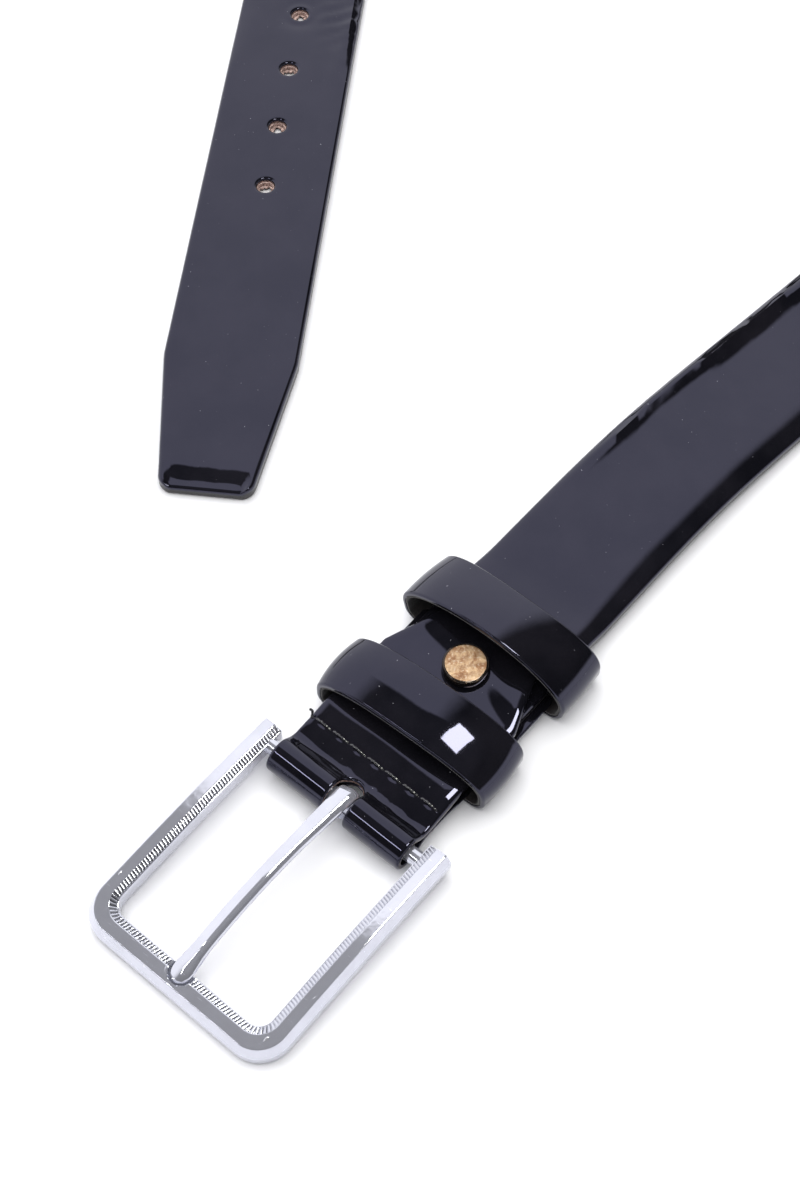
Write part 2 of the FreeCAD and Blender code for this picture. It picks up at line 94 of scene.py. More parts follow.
def lengths(line):
    """Length run so far at each point of a line."""
    return np.append(0.0, np.cumsum(np.linalg.norm(np.diff(line, axis=0), axis=1)))


def point_at(place, run, line):
    """Coordinates of a line at lengths along it; `run` is the length at each of its points."""
    return np.stack([np.interp(place, run, column) for column in line.T])


def waves(place, *terms):
    """Sum of sine waves, each given by its height, its length over two pi and its phase."""
    return sum(height * np.sin(place / length + phase) for height, length, phase in terms)


# ---- meshes ----
def placed(name, data):
    """A new object in the scene."""
    obj = bpy.data.objects.new(name, data)
    bpy.context.scene.collection.objects.link(obj)
    return obj


def piece(name, points, faces, body, node, material, sharp=35.0, mark=None):
    """A finished object from millimetre points and faces, riding on its body for its CAD node."""
    mesh = bpy.data.meshes.new(name)
    mesh.from_pydata((np.asarray(points) * MM + ORIGIN).tolist(), [], faces)
    mesh.validate()
    mesh.polygons.foreach_set("use_smooth", [True] * len(mesh.polygons))
    mesh.set_sharp_from_angle(angle=math.radians(sharp))
    if mark is not None:
        layer = mesh.attributes.new(mark[0], "FLOAT", "POINT")
        layer.data.foreach_set("value", np.asarray(mark[1], np.float32))
    mesh.update()
    obj = placed(name, mesh)
    mesh.materials.append(material)
    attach(obj, body)
    if node:
        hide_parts(node)


# ---- shader expressions ----
class Value:
    """A shader socket; arithmetic on it adds Math nodes."""

    def __init__(self, paint, socket):
        self.paint, self.socket = paint, socket

    def math(self, operation, *others):
        return self.paint.node("Math", {"operation": operation}, [self, *others])

    def __add__(self, other):
        return self.math("ADD", other)

    def __mul__(self, other):
        return self.math("MULTIPLY", other)

    def __sub__(self, other):
        return self.math("SUBTRACT", other)

    def ramp(self, low, high, to_low=0.0, to_high=1.0):
        settings = {"interpolation_type": "SMOOTHSTEP"}
        return self.paint.node("MapRange", settings, [self, low, high, to_low, to_high])


class Paint:
    """A material under construction, with one method for each thing its nodes do."""

    def __init__(self, name, tree=None):
        if tree is None:
            self.material = bpy.data.materials.new(name)
            self.material.use_nodes = True
            tree = self.material.node_tree
        self.tree = tree
        tree.nodes.clear()

    def node(self, kind, settings=None, inputs=(), output=0):
        made = self.tree.nodes.new("ShaderNode" + kind)
        for key, value in (settings or {}).items():
            setattr(made, key, value)
        pairs = inputs.items() if isinstance(inputs, dict) else enumerate(inputs)
        for key, value in pairs:
            if isinstance(value, Value):
                self.tree.links.new(value.socket, made.inputs[key])
            elif value is not None:
                made.inputs[key].default_value = value
        return Value(self, made.outputs[output])

    def place(self, scale=(1.0, 1.0, 1.0), turn=0.0):
        """Where a point is on the object, stretched and turned in the plane of the table."""
        where = self.node("TexCoord", output=3)
        spin = (0.0, 0.0, turn)
        return self.node("Mapping", {}, [where, None, spin, scale])

    def mark(self, name):
        return self.node("Attribute", {"attribute_name": name}, output=2)

    def noise(self, scale, detail, rough, where=None):
        where = where or self.place()
        inputs = {"Vector": where, "Scale": scale, "Detail": detail, "Roughness": rough}
        return self.node("TexNoise", {}, inputs)

    def mix(self, factor, a, b):
        a = a if isinstance(a, Value) else (*a, 1.0)
        b = b if isinstance(b, Value) else (*b, 1.0)
        settings = {"data_type": "RGBA"}
        return self.node("Mix", settings, {0: factor, 6: a, 7: b}, output=2)

    def bump(self, height, distance, strength=1.0, normal=None):
        inputs = {"Height": height, "Distance": distance, "Strength": strength}
        if normal is not None:
            inputs["Normal"] = normal
        return self.node("Bump", {}, inputs)

    def finish(self, inputs):
        self.output("Material", self.node("BsdfPrincipled", {}, inputs))
        return self.material

    def output(self, kind, shader):
        out = self.tree.nodes.new("ShaderNodeOutput" + kind)
        self.tree.links.new(shader.socket, out.inputs[0])


def patent_leather():
    """Black leather under a thick clear lacquer: slow ripples, faint orange peel and dust."""
    p = Paint("patent_leather")
    raw = p.mark("raw")
    tone = p.noise(70.0, 4.0, 0.6)
    fibre = p.noise(2600.0, 4.0, 0.7)
    dust = p.noise(1500.0, 1.0, 0.3).ramp(0.80, 0.84)
    black = p.mix(tone.ramp(0.3, 0.7), (0.0035, 0.0035, 0.005), (0.008, 0.0075, 0.010))
    black = p.mix(dust * 0.35, black, (0.55, 0.55, 0.6))
    brown = p.mix(fibre.ramp(0.35, 0.65), (0.07, 0.038, 0.03), (0.48, 0.32, 0.25))
    bare = (raw + (fibre - 0.5) * 0.5).ramp(0.25, 0.6)
    slow = p.noise(42.0, 1.5, 0.4)
    peel = p.noise(420.0, 2.0, 0.5)
    normal = p.bump(slow, 0.0006, 0.28)
    normal = p.bump(peel, 0.00002, 0.35, normal)
    normal = p.bump(fibre * bare, 0.0002, 0.8, normal)
    return p.finish({
        "Base Color": p.mix(bare, black, brown),
        "Roughness": tone.ramp(0.3, 0.7, 0.035, 0.06) + bare * 0.75,
        "Specular IOR Level": 0.66,
        "Specular Tint": (0.68, 0.68, 1.0, 1.0),
        "Normal": normal,
    })


def board(name, dark, pale):
    """Pressed filler or backing: matt and speckled, with bare brown fibre where it is cut."""
    p = Paint(name)
    raw = p.mark("raw")
    fibre = p.noise(2200.0, 4.0, 0.7)
    brown = p.mix(fibre.ramp(0.35, 0.65), (0.20, 0.13, 0.115), (0.80, 0.60, 0.53))
    skin = p.mix(fibre.ramp(0.3, 0.7), dark, pale)
    return p.finish({
        "Base Color": p.mix(raw.ramp(0.2, 0.6), skin, brown),
        "Roughness": fibre.ramp(0.3, 0.7, 0.22, 0.4) + raw * 0.5,
        "Normal": p.bump(fibre, 0.00006, 0.6),
    })


def suede_lining():
    """Napped lining: dark, matt, with pale flecks of loose fibre."""
    p = Paint("suede")
    nap = p.noise(1900.0, 5.0, 0.75)
    fleck = p.noise(3300.0, 2.0, 0.6).ramp(0.68, 0.74)
    ground = p.mix(nap.ramp(0.3, 0.7), (0.006, 0.005, 0.006), (0.035, 0.03, 0.03))
    return p.finish({
        "Base Color": p.mix(fleck * 0.5, ground, (0.3, 0.27, 0.26)),
        "Roughness": nap.ramp(0.3, 0.7, 0.75, 0.95),
        "Sheen Weight": 0.25,
        "Normal": p.bump(nap, 0.00012, 0.9),
    })


def plated(name, tint, haze):
    """Bright plating: mirror with hairline scratches and a little haze; painted shade in marked grooves.
    """
    p = Paint(name)
    groove_shade = p.mark("groove_shade")
    drawn = p.noise(2600.0, 3.0, 0.7, p.place((1.0, 0.06, 1.0), 0.5))
    crossed = p.noise(1900.0, 3.0, 0.7, p.place((0.05, 1.0, 1.0), -0.3))
    cloud = p.noise(160.0, 4.0, 0.6)
    hair = drawn.ramp(0.66, 0.74) + crossed.ramp(0.70, 0.76)
    nick = p.noise(700.0, 1.0, 0.4, p.place((0.35, 1.0, 1.0), 0.7)).ramp(0.76, 0.80)
    bright = p.mix(cloud.ramp(0.3, 0.7), tint, tuple(0.93 * c for c in tint))
    bright = p.mix(nick * 0.7, bright, (0.9, 0.9, 0.93))
    normal = p.bump(cloud, 0.00025, 0.18)
    normal = p.bump(drawn, 0.000012, 0.1, normal)
    normal = p.bump(crossed, 0.00001, 0.1, normal)
    normal = p.bump(nick, 0.00006, 0.8, normal)
    return p.finish({
        # painted shade: the marked grooves between the ribs are darkened in the base colour
        "Base Color": p.mix(groove_shade, bright, (0.03, 0.03, 0.04)),
        "Metallic": hair.ramp(0.0, 1.0, 1.0 - haze, 0.75 - haze),
        "Roughness": cloud.ramp(0.3, 0.7, 0.045, 0.09) + hair * 0.18,
        "Normal": normal,
    })


def aged_bronze():
    """Mottled tan disc: worn lacquer over bronze with pale scuffs and brown stains."""
    p = Paint("rivet_bronze")
    cloud = p.noise(420.0, 5.0, 0.7)
    spot = p.noise(1500.0, 3.0, 0.6)
    tan = p.mix(cloud.ramp(0.35, 0.62), (0.27, 0.13, 0.055), (0.50, 0.34, 0.20))
    tan = p.mix(spot.ramp(0.52, 0.68) * 0.6, tan, (0.62, 0.50, 0.38))
    tan = p.mix(spot.ramp(0.42, 0.30) * 0.5, tan, (0.16, 0.07, 0.03))
    return p.finish({
        "Base Color": tan,
        "Metallic": cloud.ramp(0.3, 0.7, 0.25, 0.5),
        "Roughness": spot.ramp(0.3, 0.7, 0.28, 0.5),
        "Normal": p.bump(cloud, 0.0001, 0.5),
    })


def mottled(name, grain, share, dark, pale, gloss, relief, extra):
    """One grain of noise that varies the colour, the roughness and the surface together."""
    p = Paint(name)
    grain = p.noise(*grain)
    return p.finish({
        "Base Color": p.mix(grain.ramp(*share), dark, pale),
        "Roughness": grain.ramp(0.3, 0.7, *gloss),
        "Normal": p.bump(grain, *relief),
        **extra,
    })


# ---- the strap's run over the table ----
DRIFT_STEPS, NEAR_STEPS, LOOP_STEPS, TIP_STEPS = 170, 142, 640, 225
HEADING_REACH = 2.0


def strap_run():
    """Lengths from the bar and points of the strap's centre line in the plane of the table.

    The heading drifts by a smooth step, holds, turns round the loop with a curvature that
    ramps up, holds and ramps down, and holds again to the tip. The two straight stretches
    get the lengths that bring the tip to its place.
    """
    h0, h1 = math.radians(DRIFT_ANGLE), math.radians(TIP_HEADING)
    loop = LOOP_R * (h1 - h0) + LOOP_RAMP

    def swing(s):
        k = 1.0 / LOOP_R
        rise = k * s * s / (2.0 * LOOP_RAMP)
        hold = k * (s - LOOP_RAMP / 2.0)
        left = loop - s
        fall = k * (loop - LOOP_RAMP) - k * left * left / (2.0 * LOOP_RAMP)
        return np.where(s < LOOP_RAMP, rise, np.where(s < loop - LOOP_RAMP, hold, fall))

    def walk(heading, length, steps):
        ds = length / steps
        mid = heading((np.arange(steps) + 0.5) * ds)
        xy = np.cumsum(np.stack([np.cos(mid), np.sin(mid)], 1) * ds, 0)
        return np.vstack([[0.0, 0.0], xy])

    def drift(s):
        return h0 * smooth((s - DRIFT_START) / (DRIFT_END - DRIFT_START))

    def round_loop(s):
        return h0 + swing(s)

    first = walk(drift, DRIFT_END, DRIFT_STEPS)
    gap = TIP_END - first[-1] - walk(round_loop, loop, LOOP_STEPS)[-1]
    runs = np.linalg.solve(np.array([[math.cos(h0), math.cos(h1)], [math.sin(h0), math.sin(h1)]]), gap)
    s = [np.linspace(0.0, DRIFT_END, DRIFT_STEPS + 1)]
    xy = [first]
    for heading, length, steps in (
        (lambda t: h0 + 0 * t, runs[0], NEAR_STEPS),
        (round_loop, loop, LOOP_STEPS),
        (lambda t: h1 + 0 * t, runs[1], TIP_STEPS),
    ):
        part = walk(heading, length, steps)[1:]
        xy.append(xy[-1][-1] + part)
        s.append(s[-1][-1] + np.linspace(0.0, length, steps + 1)[1:])
    return np.concatenate(s), np.concatenate(xy)


RUN_S, RUN_XY = strap_run()
RUN_LENGTH = RUN_S[-1]


def strap_frame(s):
    """Centre, width and thickness directions at lengths s from the bar.

    The tilt about the heading and the lift off the table follow smooth steps.
    """
    x, y = point_at(s, RUN_S, RUN_XY)
    ahead, behind = (point_at(s + reach, RUN_S, RUN_XY) for reach in (HEADING_REACH, -HEADING_REACH))
    heading = np.arctan2(*(ahead - behind)[::-1])
    flat_end = RUN_LENGTH - TWIST_START
    rise = smooth((s - TWIST_START) / TWIST_LENGTH)
    fall = smooth((flat_end - s) / TWIST_LENGTH)
    tilt = math.radians(STAND_ANGLE) * np.minimum(rise, fall)
    step_down = STACK_BASE + BILLET_T - STRAP_LIFT
    lift = STRAP_LIFT + step_down * (1.0 - smooth((s - STEP_START) / (STEP_END - STEP_START)))
    lift = lift * (1.0 - smooth((s - SINK_START) / (SINK_END - SINK_START)))
    z = lift + STRAP_W / 2 * np.sin(tilt) + STRAP_T / 2 * np.cos(tilt)
    left = np.stack([-np.sin(heading), np.cos(heading), 0 * s], -1)
    up = np.array([0.0, 0.0, 1.0])
    c, d = np.cos(tilt)[..., None], np.sin(tilt)[..., None]
    centre = np.stack([x, y, z], -1)
    return centre, left * c + up * d, up * c - left * d


# ---- sheets with thickness, cut outline and holes ----
NEAR_EDGE = np.array([0.0, 0.1, 0.3, 0.6, 1.0, 1.6, 2.4])


def sheet_plan(us, half, rows, inner, cuts, ragged=0.0):
    """Flat plan of a strip: rows of points across at each length u, with round-ended cuts.

    Rows sit at fixed distances from the two edges and at the shares `inner` between them.
    Each cut is (first row, last row, first column, last column, segment ends, radius, ring
    distances): its cells are taken out, and rings run from the patch's border to the cut's own
    outline, which `ragged` draws in unevenly by that many millimetres.
    Returns rows of (length, sideways place, distance to the nearest edge), the faces, and a
    mark that is 1 on the rings.
    """
    span = half - rows[-1]
    across = np.concatenate([
        -half[:, None] + rows[None, :],
        span[:, None] * inner[None, :],
        half[:, None] - rows[None, ::-1],
    ], 1)
    n, m = across.shape
    along = np.repeat(us[:, None], m, 1)
    edge = np.minimum(half[:, None] - np.abs(across), np.minimum(along - us[0], us[-1] - along))
    index = np.arange(n * m).reshape(n, m)
    keep = np.ones((n - 1, m - 1), bool)
    points = [np.stack([along.ravel(), across.ravel(), edge.ravel()], 1)]
    extra = []
    count = n * m
    ringed = [np.zeros(n * m)]
    for i0, i1, j0, j1, ends, radius, steps in cuts:
        keep[i0:i1, j0:j1] = False
        loop = np.concatenate([
            index[i0, j0:j1], index[i0:i1, j1], index[i1, j1:j0:-1], index[i1:i0:-1, j0],
        ])
        border = points[0][loop, :2]
        core = border.copy()
        core[:, 0] = np.clip(border[:, 0], ends[0], ends[1])
        core[:, 1] = 0.0
        away = border - core
        bearing = np.arctan2(away[:, 1], away[:, 0])
        fray = 0.62 + 0.22 * np.sin(3 * bearing + ends[0]) + 0.16 * np.sin(8 * bearing + 2 * ends[0])
        reach = radius - ragged * fray
        outline = core + unit(away) * reach[:, None]
        previous = loop
        for step in steps:
            far = np.linalg.norm(border - outline, axis=1)
            share = (np.minimum(step, far) / far)[:, None]
            ring = outline + (border - outline) * share
            gap = np.minimum(np.minimum(step, far), points[0][loop, 2])
            points.append(np.column_stack([ring, gap]))
            ringed.append(np.ones(len(loop)))
            current = count + np.arange(len(loop))
            count += len(loop)
            extra.append(np.stack([previous, current, np.roll(current, -1), np.roll(previous, -1)], 1))
            previous = current
    cells = np.stack([index[:-1, :-1], index[1:, :-1], index[1:, 1:], index[:-1, 1:]], -1)[keep]
    faces = np.concatenate([cells.reshape(-1, 4)] + extra)
    flat = np.concatenate(points)
    used = np.unique(faces)
    renumber = np.full(len(flat), -1)
    renumber[used] = np.arange(len(used))
    return flat[used], renumber[faces], np.concatenate(ringed)[used]


def border_edges(faces):
    """Directed edges that only one face has."""
    edges = np.concatenate([np.stack([faces[:, i], faces[:, (i + 1) % 4]], 1) for i in range(4)])
    size = faces.max() + 1
    key = edges[:, 0] * size + edges[:, 1]
    back = edges[:, 1] * size + edges[:, 0]
    return edges[~np.isin(key, back)]


def thick_sheet(flat, faces, low, high, round_low, round_high, levels, shape):
    """A closed slab on a flat plan, rounded over at its edges by two radii, then bent by `shape`.

    shape takes lengths, sideways places and heights and gives points. Also returns the faces
    and the slab before it was bent.
    """
    def roll(radius, edge):
        d = np.clip(edge, 0.0, radius)
        return radius - np.sqrt(np.maximum(radius ** 2 - (radius - d) ** 2, 0.0))

    u, a, edge = flat.T
    top = high - roll(round_high, edge)
    bottom = low + roll(round_low, edge)
    shares = np.linspace(0.0, 1.0, levels + 2)
    rim = border_edges(faces)
    ring = np.unique(rim)
    slot_of = np.full(len(flat), -1)
    slot_of[ring] = np.arange(len(ring))
    points = [np.stack([u, a, top], 1)]
    for share in shares[1:-1]:
        points.append(np.stack([u[ring], a[ring], top[ring] + (bottom - top)[ring] * share], 1))
    points.append(np.stack([u, a, bottom], 1))
    under = len(flat) + levels * len(ring)
    everything = [faces, faces[:, ::-1] + under]
    own = np.arange(len(flat))
    numbers = [own, *(len(flat) + k * len(ring) + slot_of for k in range(levels)), own + under]
    for upper, lower in zip(numbers, numbers[1:]):
        everything.append(np.hstack([upper[rim[:, ::-1]], lower[rim]]))
    solid = np.concatenate(points)
    return shape(solid[:, 0], solid[:, 1], solid[:, 2]), np.concatenate(everything).tolist(), solid


# ---- strap ----
HOLE_PATCH = 6.0
TIP_SLOPE = (STRAP_W / 2 - TIP_END_HALF) / TIP_TAPER
SHOULDER_W, SHOULDER_DROP = 3.2, 0.75
DIP_START, DIP_END, DIP_DROP = 7.2, 1.6, 0.8
FLAT_TIP_LENGTH, FLAT_TIP_FADE = 135.0, 40.0
BEAD_START, BEAD_STOP, BEAD_HEIGHT = 88.0, 125.0, 0.6
WORN_HOLE = HOLE_FIRST + 3 * HOLE_PITCH
WORN_RING_R, WORN_RING_W, WORN_RING_DROP = 4.6, 1.7, 0.26
CREASE_REACH = 10.0


def strap_plan(ragged):
    """The strap's plan from the billet to the tip, lengths measured back from the tip end."""
    total = RUN_LENGTH - STRAP_START
    near_end = np.append(NEAR_EDGE[:-1], [2.3, 3.1, 3.8])
    centres = [HOLE_FIRST + i * HOLE_PITCH for i in range(HOLE_COUNT)]
    rows = [near_end, np.arange(5.5, HOLE_FIRST - HOLE_PATCH - 0.5, 2.0)]
    for centre in centres:
        rows.append(np.linspace(centre - HOLE_PATCH, centre + HOLE_PATCH, 13))
        gap_end = centre + (40.0 if centre == centres[-1] else HOLE_PITCH - HOLE_PATCH)
        rows.append(np.linspace(centre + HOLE_PATCH, gap_end, 8)[1:-1])
    rows += [np.linspace(rows[-1][-1] + 2.5, total - 3.0, 330), total - near_end[::-1][2:]]
    us = np.concatenate(rows)
    half = np.minimum(STRAP_W / 2, TIP_END_HALF + TIP_SLOPE * us)
    # rounded corners: the edge follows an arc over the last few millimetres
    lean = math.atan(TIP_SLOPE)
    reach = TIP_CORNER_R * math.tan((math.pi / 2 - lean) / 2)
    arc = TIP_END_HALF - reach + np.sqrt(np.maximum(TIP_CORNER_R ** 2 - (TIP_CORNER_R - us) ** 2, 0.0))
    half = np.where(us < TIP_CORNER_R * (1 - math.sin(lean)), np.minimum(arc, half), half)
    side = np.array([7.0, 8.5, 10.0, 11.7, 13.4])
    inner = np.concatenate([-side[::-1], np.arange(-6.0, 6.5, 1.0), side])
    inner /= STRAP_W / 2 - NEAR_EDGE[-1]
    first = len(NEAR_EDGE) + len(side)
    steps = [3.0, 2.2, 1.5, 1.0, 0.6, 0.35, 0.15, 0.05, 0.0]
    cuts = []
    for centre in centres:
        i0 = int(np.argmin(np.abs(us - (centre - HOLE_PATCH))))
        cuts.append((i0, i0 + 12, first, first + 12, (centre, centre), HOLE_R, steps))
    return sheet_plan(us, half, NEAR_EDGE, inner, cuts, ragged)


def strap_shape(u, a, w):
    """Bends the flat plan along the run: length from the tip, sideways place, height in the strap.

    The face falls away over a narrow shoulder at each edge and dips just before the tip's end.
    A raised bead wanders along the far edge, strongest where the strap starts to turn up. The
    hole in daily use is pulled into a shallow ring, with creases running to the edge.
    """
    s = RUN_LENGTH - u
    centre, across, out = strap_frame(s)
    half = np.minimum(STRAP_W / 2, TIP_END_HALF + TIP_SLOPE * u)
    edge = half - np.abs(a)
    share = np.clip(w / STRAP_T, 0, 1)
    wander = waves(s, (0.5, 6.1, 0.5), (0.3, 2.7, 0.0), (0.2, 1.3, 2.0))
    flat_tip = 1.0 - smooth((u - FLAT_TIP_LENGTH) / FLAT_TIP_FADE)
    near_side = smooth((s - 60.0) / 40.0) * (1.0 - flat_tip) * (a > 0)
    width = SHOULDER_W + 0.3 * np.sin(s / 9.0) + 2.6 * near_side - 1.9 * flat_tip
    fall = SHOULDER_DROP * (1.0 - 0.55 * flat_tip) * np.clip(1 - edge / width, 0, 1) ** 1.7
    grow = smooth((s - BEAD_START) / 40.0) * smooth((u - BEAD_STOP) / 50.0) * (a < 0)
    broad = 1.1 + 0.5 * smooth((s - 130.0) / 60.0)
    bead = BEAD_HEIGHT * broad * grow * bell(edge - 1.9 * broad - 0.9 * wander, broad)
    lumps = 0.3 * np.sin(a * 0.9 + 0.6) + 0.1 * np.sin(a * 3.1)
    inside = smooth((edge - 1.0) / 2.0)
    used = u - WORN_HOLE
    ring = WORN_RING_DROP * bell(np.hypot(used, a) - WORN_RING_R, WORN_RING_W)
    crease = 0.13 * np.sin(1.25 * used + 0.5 * a) + 0.06 * np.sin(2.9 * used - 0.8 * a)
    worn = crease * bell(used + 1.0, CREASE_REACH) * smooth((-a - 3.0) / 7.0) - ring
    dip = DIP_DROP * smooth((DIP_START + 0.35 * lumps - u) / (DIP_START - DIP_END)) * inside
    off = a / (STRAP_W / 2)
    roll = 0.10 * np.sin(s / 19.0 + 1.3) * off + 0.05 * np.sin(s / 8.3) * off ** 2
    h = w - STRAP_T / 2 + share * (roll + bead + worn - fall - dip)
    return centre - across * a[:, None] + out * h[:, None]


def bareness(solid, ringed, lower_layer):
    """Marks bare fibre: the holes' cut walls, and on the lower layers what shows beside them."""
    sheet = len(ringed)
    mark = np.zeros(len(solid))
    mark[:sheet] = ringed * lower_layer
    length, sideways, _ = solid[sheet:-sheet].T
    among_holes = np.abs(length - WORN_HOLE + HOLE_PITCH) < HOLE_COUNT * HOLE_PITCH / 2
    mark[sheet:-sheet] = among_holes & (np.abs(sideways) < HOLE_PATCH)
    return mark


def build_strap(coat, filler, backing):
    """The strap's three layers, each a slab on the plan, bent along the run."""
    # node, fraying at the holes, bottom, top, roundness below and above, rows of wall, paint, slot
    layers = (
        ("strap_face", 0.0, 2.1, 3.5, 0.02, 0.8, 3, coat, "patent_leather"),
        ("strap_core", 0.45, 1.0, 2.15, 0.02, 0.02, 2, filler, "strap_filler"),
        ("strap_lining", 1.35, 0.0, 1.05, 0.5, 0.02, 2, backing, "strap_backing"),
    )
    for node, ragged, low, high, r_low, r_high, levels, material, slot in layers:
        flat, faces, ringed = strap_plan(ragged)
        points, quads, solid = thick_sheet(flat, faces, low, high, r_low, r_high, levels, strap_shape)
        bare = ("raw", bareness(solid, ringed, node != "strap_face"))
        piece(node + "_leather", points, quads, "strap", node, material, mark=bare)


# ---- shared shapes ----
def lattice(rows, columns):
    """Faces of a grid of points numbered row by row, each row closed on itself."""
    index = np.arange(rows * columns).reshape(rows, columns)
    index = np.hstack([index, index[:, :1]])
    cells = [index[:-1, :-1], index[:-1, 1:], index[1:, 1:], index[1:, :-1]]
    return np.stack(cells, -1).reshape(-1, 4).tolist()


def turned(points, faces):
    """The same faces, reversed if the closed surface's signed volume says they point inwards."""
    middle = points.mean(0)
    volume = 0.0
    for size in sorted({len(face) for face in faces}):
        corner = points[np.array([face for face in faces if len(face) == size])] - middle
        fan = np.cross(corner[:, 1:-1], corner[:, 2:])
        volume += float((corner[:, :1] * fan).sum())
    return faces if volume > 0 else [list(face)[::-1] for face in faces]


def loft(sections):
    """Points and outward faces of closed sections joined in a row, with flat ends."""
    rows, columns = sections.shape[:2]
    faces = lattice(rows, columns)
    faces.append(list(range(columns))[::-1])
    faces.append(list(range((rows - 1) * columns, rows * columns)))
    points = sections.reshape(-1, 3)
    return points, turned(points, faces)


def resample(line, count):
    """Points evenly spaced by length along a polyline, and the whole length."""
    length = lengths(line)
    want = np.linspace(0.0, length[-1], count)
    return point_at(want, length, line).T, length[-1]


def curve_through(knots, count):
    """Natural cubic spline through a few knots, evenly spaced by length."""
    knots = np.asarray(knots, float)
    n = len(knots)
    t = lengths(knots)
    h = np.diff(t)
    system = np.eye(n)
    right = np.zeros((n, knots.shape[1]))
    for i in range(1, n - 1):
        system[i, i - 1:i + 2] = h[i - 1], 2 * (h[i - 1] + h[i]), h[i]
        right[i] = 6 * ((knots[i + 1] - knots[i]) / h[i] - (knots[i] - knots[i - 1]) / h[i - 1])
    bend = np.linalg.solve(system, right)
    fine = np.linspace(0.0, t[-1], 20 * n)
    k = np.clip(np.searchsorted(t, fine, side="right") - 1, 0, n - 2)
    u, v = (t[k + 1] - fine)[:, None], (fine - t[k])[:, None]
    w = h[k][:, None]
    line = (bend[k] * u ** 3 + bend[k + 1] * v ** 3) / (6 * w)
    line += (knots[k] / w - bend[k] * w / 6) * u + (knots[k + 1] / w - bend[k + 1] * w / 6) * v
    return resample(line, count)[0]


def normals_2d(line):
    """Unit normals to the left of a plane line's direction."""
    along = unit(np.gradient(line, axis=0))
    return np.stack([-along[:, 1], along[:, 0]], 1)


# ---- billet ----
ROLL_R = 3.7
STITCH_X = 11.0
STITCH_PITCH = 5.2
STITCH_COUNT = 8
LOWER_FLAP_END = 52.0
UPPER_FLAP_END = 62.0
TAPER_START = 37.0
TAPER_ANGLE = 20.0
BILLET_HALF = 19.5
SLOT_HALF = 3.1
SLOT_END = 5.2
SLOT_ROWS = 44
PINCH = 1.1
ROLL_LEAVE_ANGLE = 52.0
RISE_LENGTH = 8.5
CORNER_R = 1.5
PUCKER, CREASE, TUCK, LIP = 0.13, 0.045, 0.85, 0.45


def fold_line():
    """Mid-thickness line of the folded leather in the upright plane, lower flap to upper flap.

    A tight round roll, a sharp drop behind the bar, a slow rise to the stitches and a
    smooth rise over the strap's end.
    """
    angles = np.linspace(math.pi, math.radians(ROLL_LEAVE_ANGLE), 60)
    roll = np.stack([ROLL_R * np.cos(angles) - 0.2, ROLL_R * np.sin(angles)], 1)
    full = (STRAP_T + BILLET_T) / 2
    tight = curve_through([roll[-1], (3.2, 1.95), (4.2, 1.26), (5.6, 0.88), (7.2, 0.88), (9.2, 1.0),
                           (STITCH_X, PINCH)], 60)[1:]
    t = np.linspace(0.0, 1.0, 40)[1:]
    rise = np.stack([STITCH_X + RISE_LENGTH * t, PINCH + (full - PINCH) * smooth(t)], 1)
    half = np.concatenate([roll, tight, rise])
    line = np.vstack([[LOWER_FLAP_END, -full], half[::-1] * [1, -1], half[1:], [UPPER_FLAP_END, full]])
    return line, lengths(line)


FOLD, FOLD_U = fold_line()


def fold_place(x, upper):
    """Length along the fold where its upper or lower half reaches a distance from the bar."""
    side = FOLD[:, 1] > 0 if upper else FOLD[:, 1] < 0
    order = np.argsort(FOLD[side, 0])
    return float(np.interp(x, FOLD[side, 0][order], FOLD_U[side][order]))


def billet_half(u):
    """Half width of the leather at lengths along the fold: the upper flap narrows to its end."""
    taper = np.maximum(u - fold_place(TAPER_START, True), 0.0)
    return BILLET_HALF - taper * math.tan(math.radians(TAPER_ANGLE))


def billet_plan():
    """The billet's flat plan from the lower flap's end to the upper's, with the prong's slot."""
    slot = fold_place(SLOT_END, False), fold_place(SLOT_END, True)
    total = FOLD_U[-1]
    near_end = NEAR_EDGE[:-1]
    patch = (slot[0] - 2.0, slot[1] + 2.0)
    rows = [near_end, np.linspace(2.6, patch[0] - 0.5, 70), np.linspace(*patch, SLOT_ROWS + 1)]
    rows += [np.linspace(patch[1] + 0.4, total - 2.6, 100), total - near_end[::-1]]
    us = np.concatenate(rows)
    half = billet_half(us)
    # the ends' corners are rounded a little
    for place in (us, total - us):
        short = np.maximum(CORNER_R - place, 0.0)
        half = half - (CORNER_R - np.sqrt(np.maximum(CORNER_R ** 2 - short ** 2, 0.0)))
    inner_span = BILLET_HALF - NEAR_EDGE[-1]
    side = np.arange(6.2, inner_span - 0.3, 1.1)
    inner = np.concatenate([-side[::-1], np.linspace(-5.0, 5.0, 11), side]) / inner_span
    first = len(NEAR_EDGE) + len(side)
    i0 = len(near_end) + 70
    ends = (slot[0] + SLOT_HALF, slot[1] - SLOT_HALF)
    steps = [1.4, 1.0, 0.7, 0.45, 0.25, 0.1, 0.0]
    cuts = [(i0, i0 + SLOT_ROWS, first, first + 10, ends, SLOT_HALF, steps)]
    return sheet_plan(us, half, NEAR_EDGE, inner, cuts)


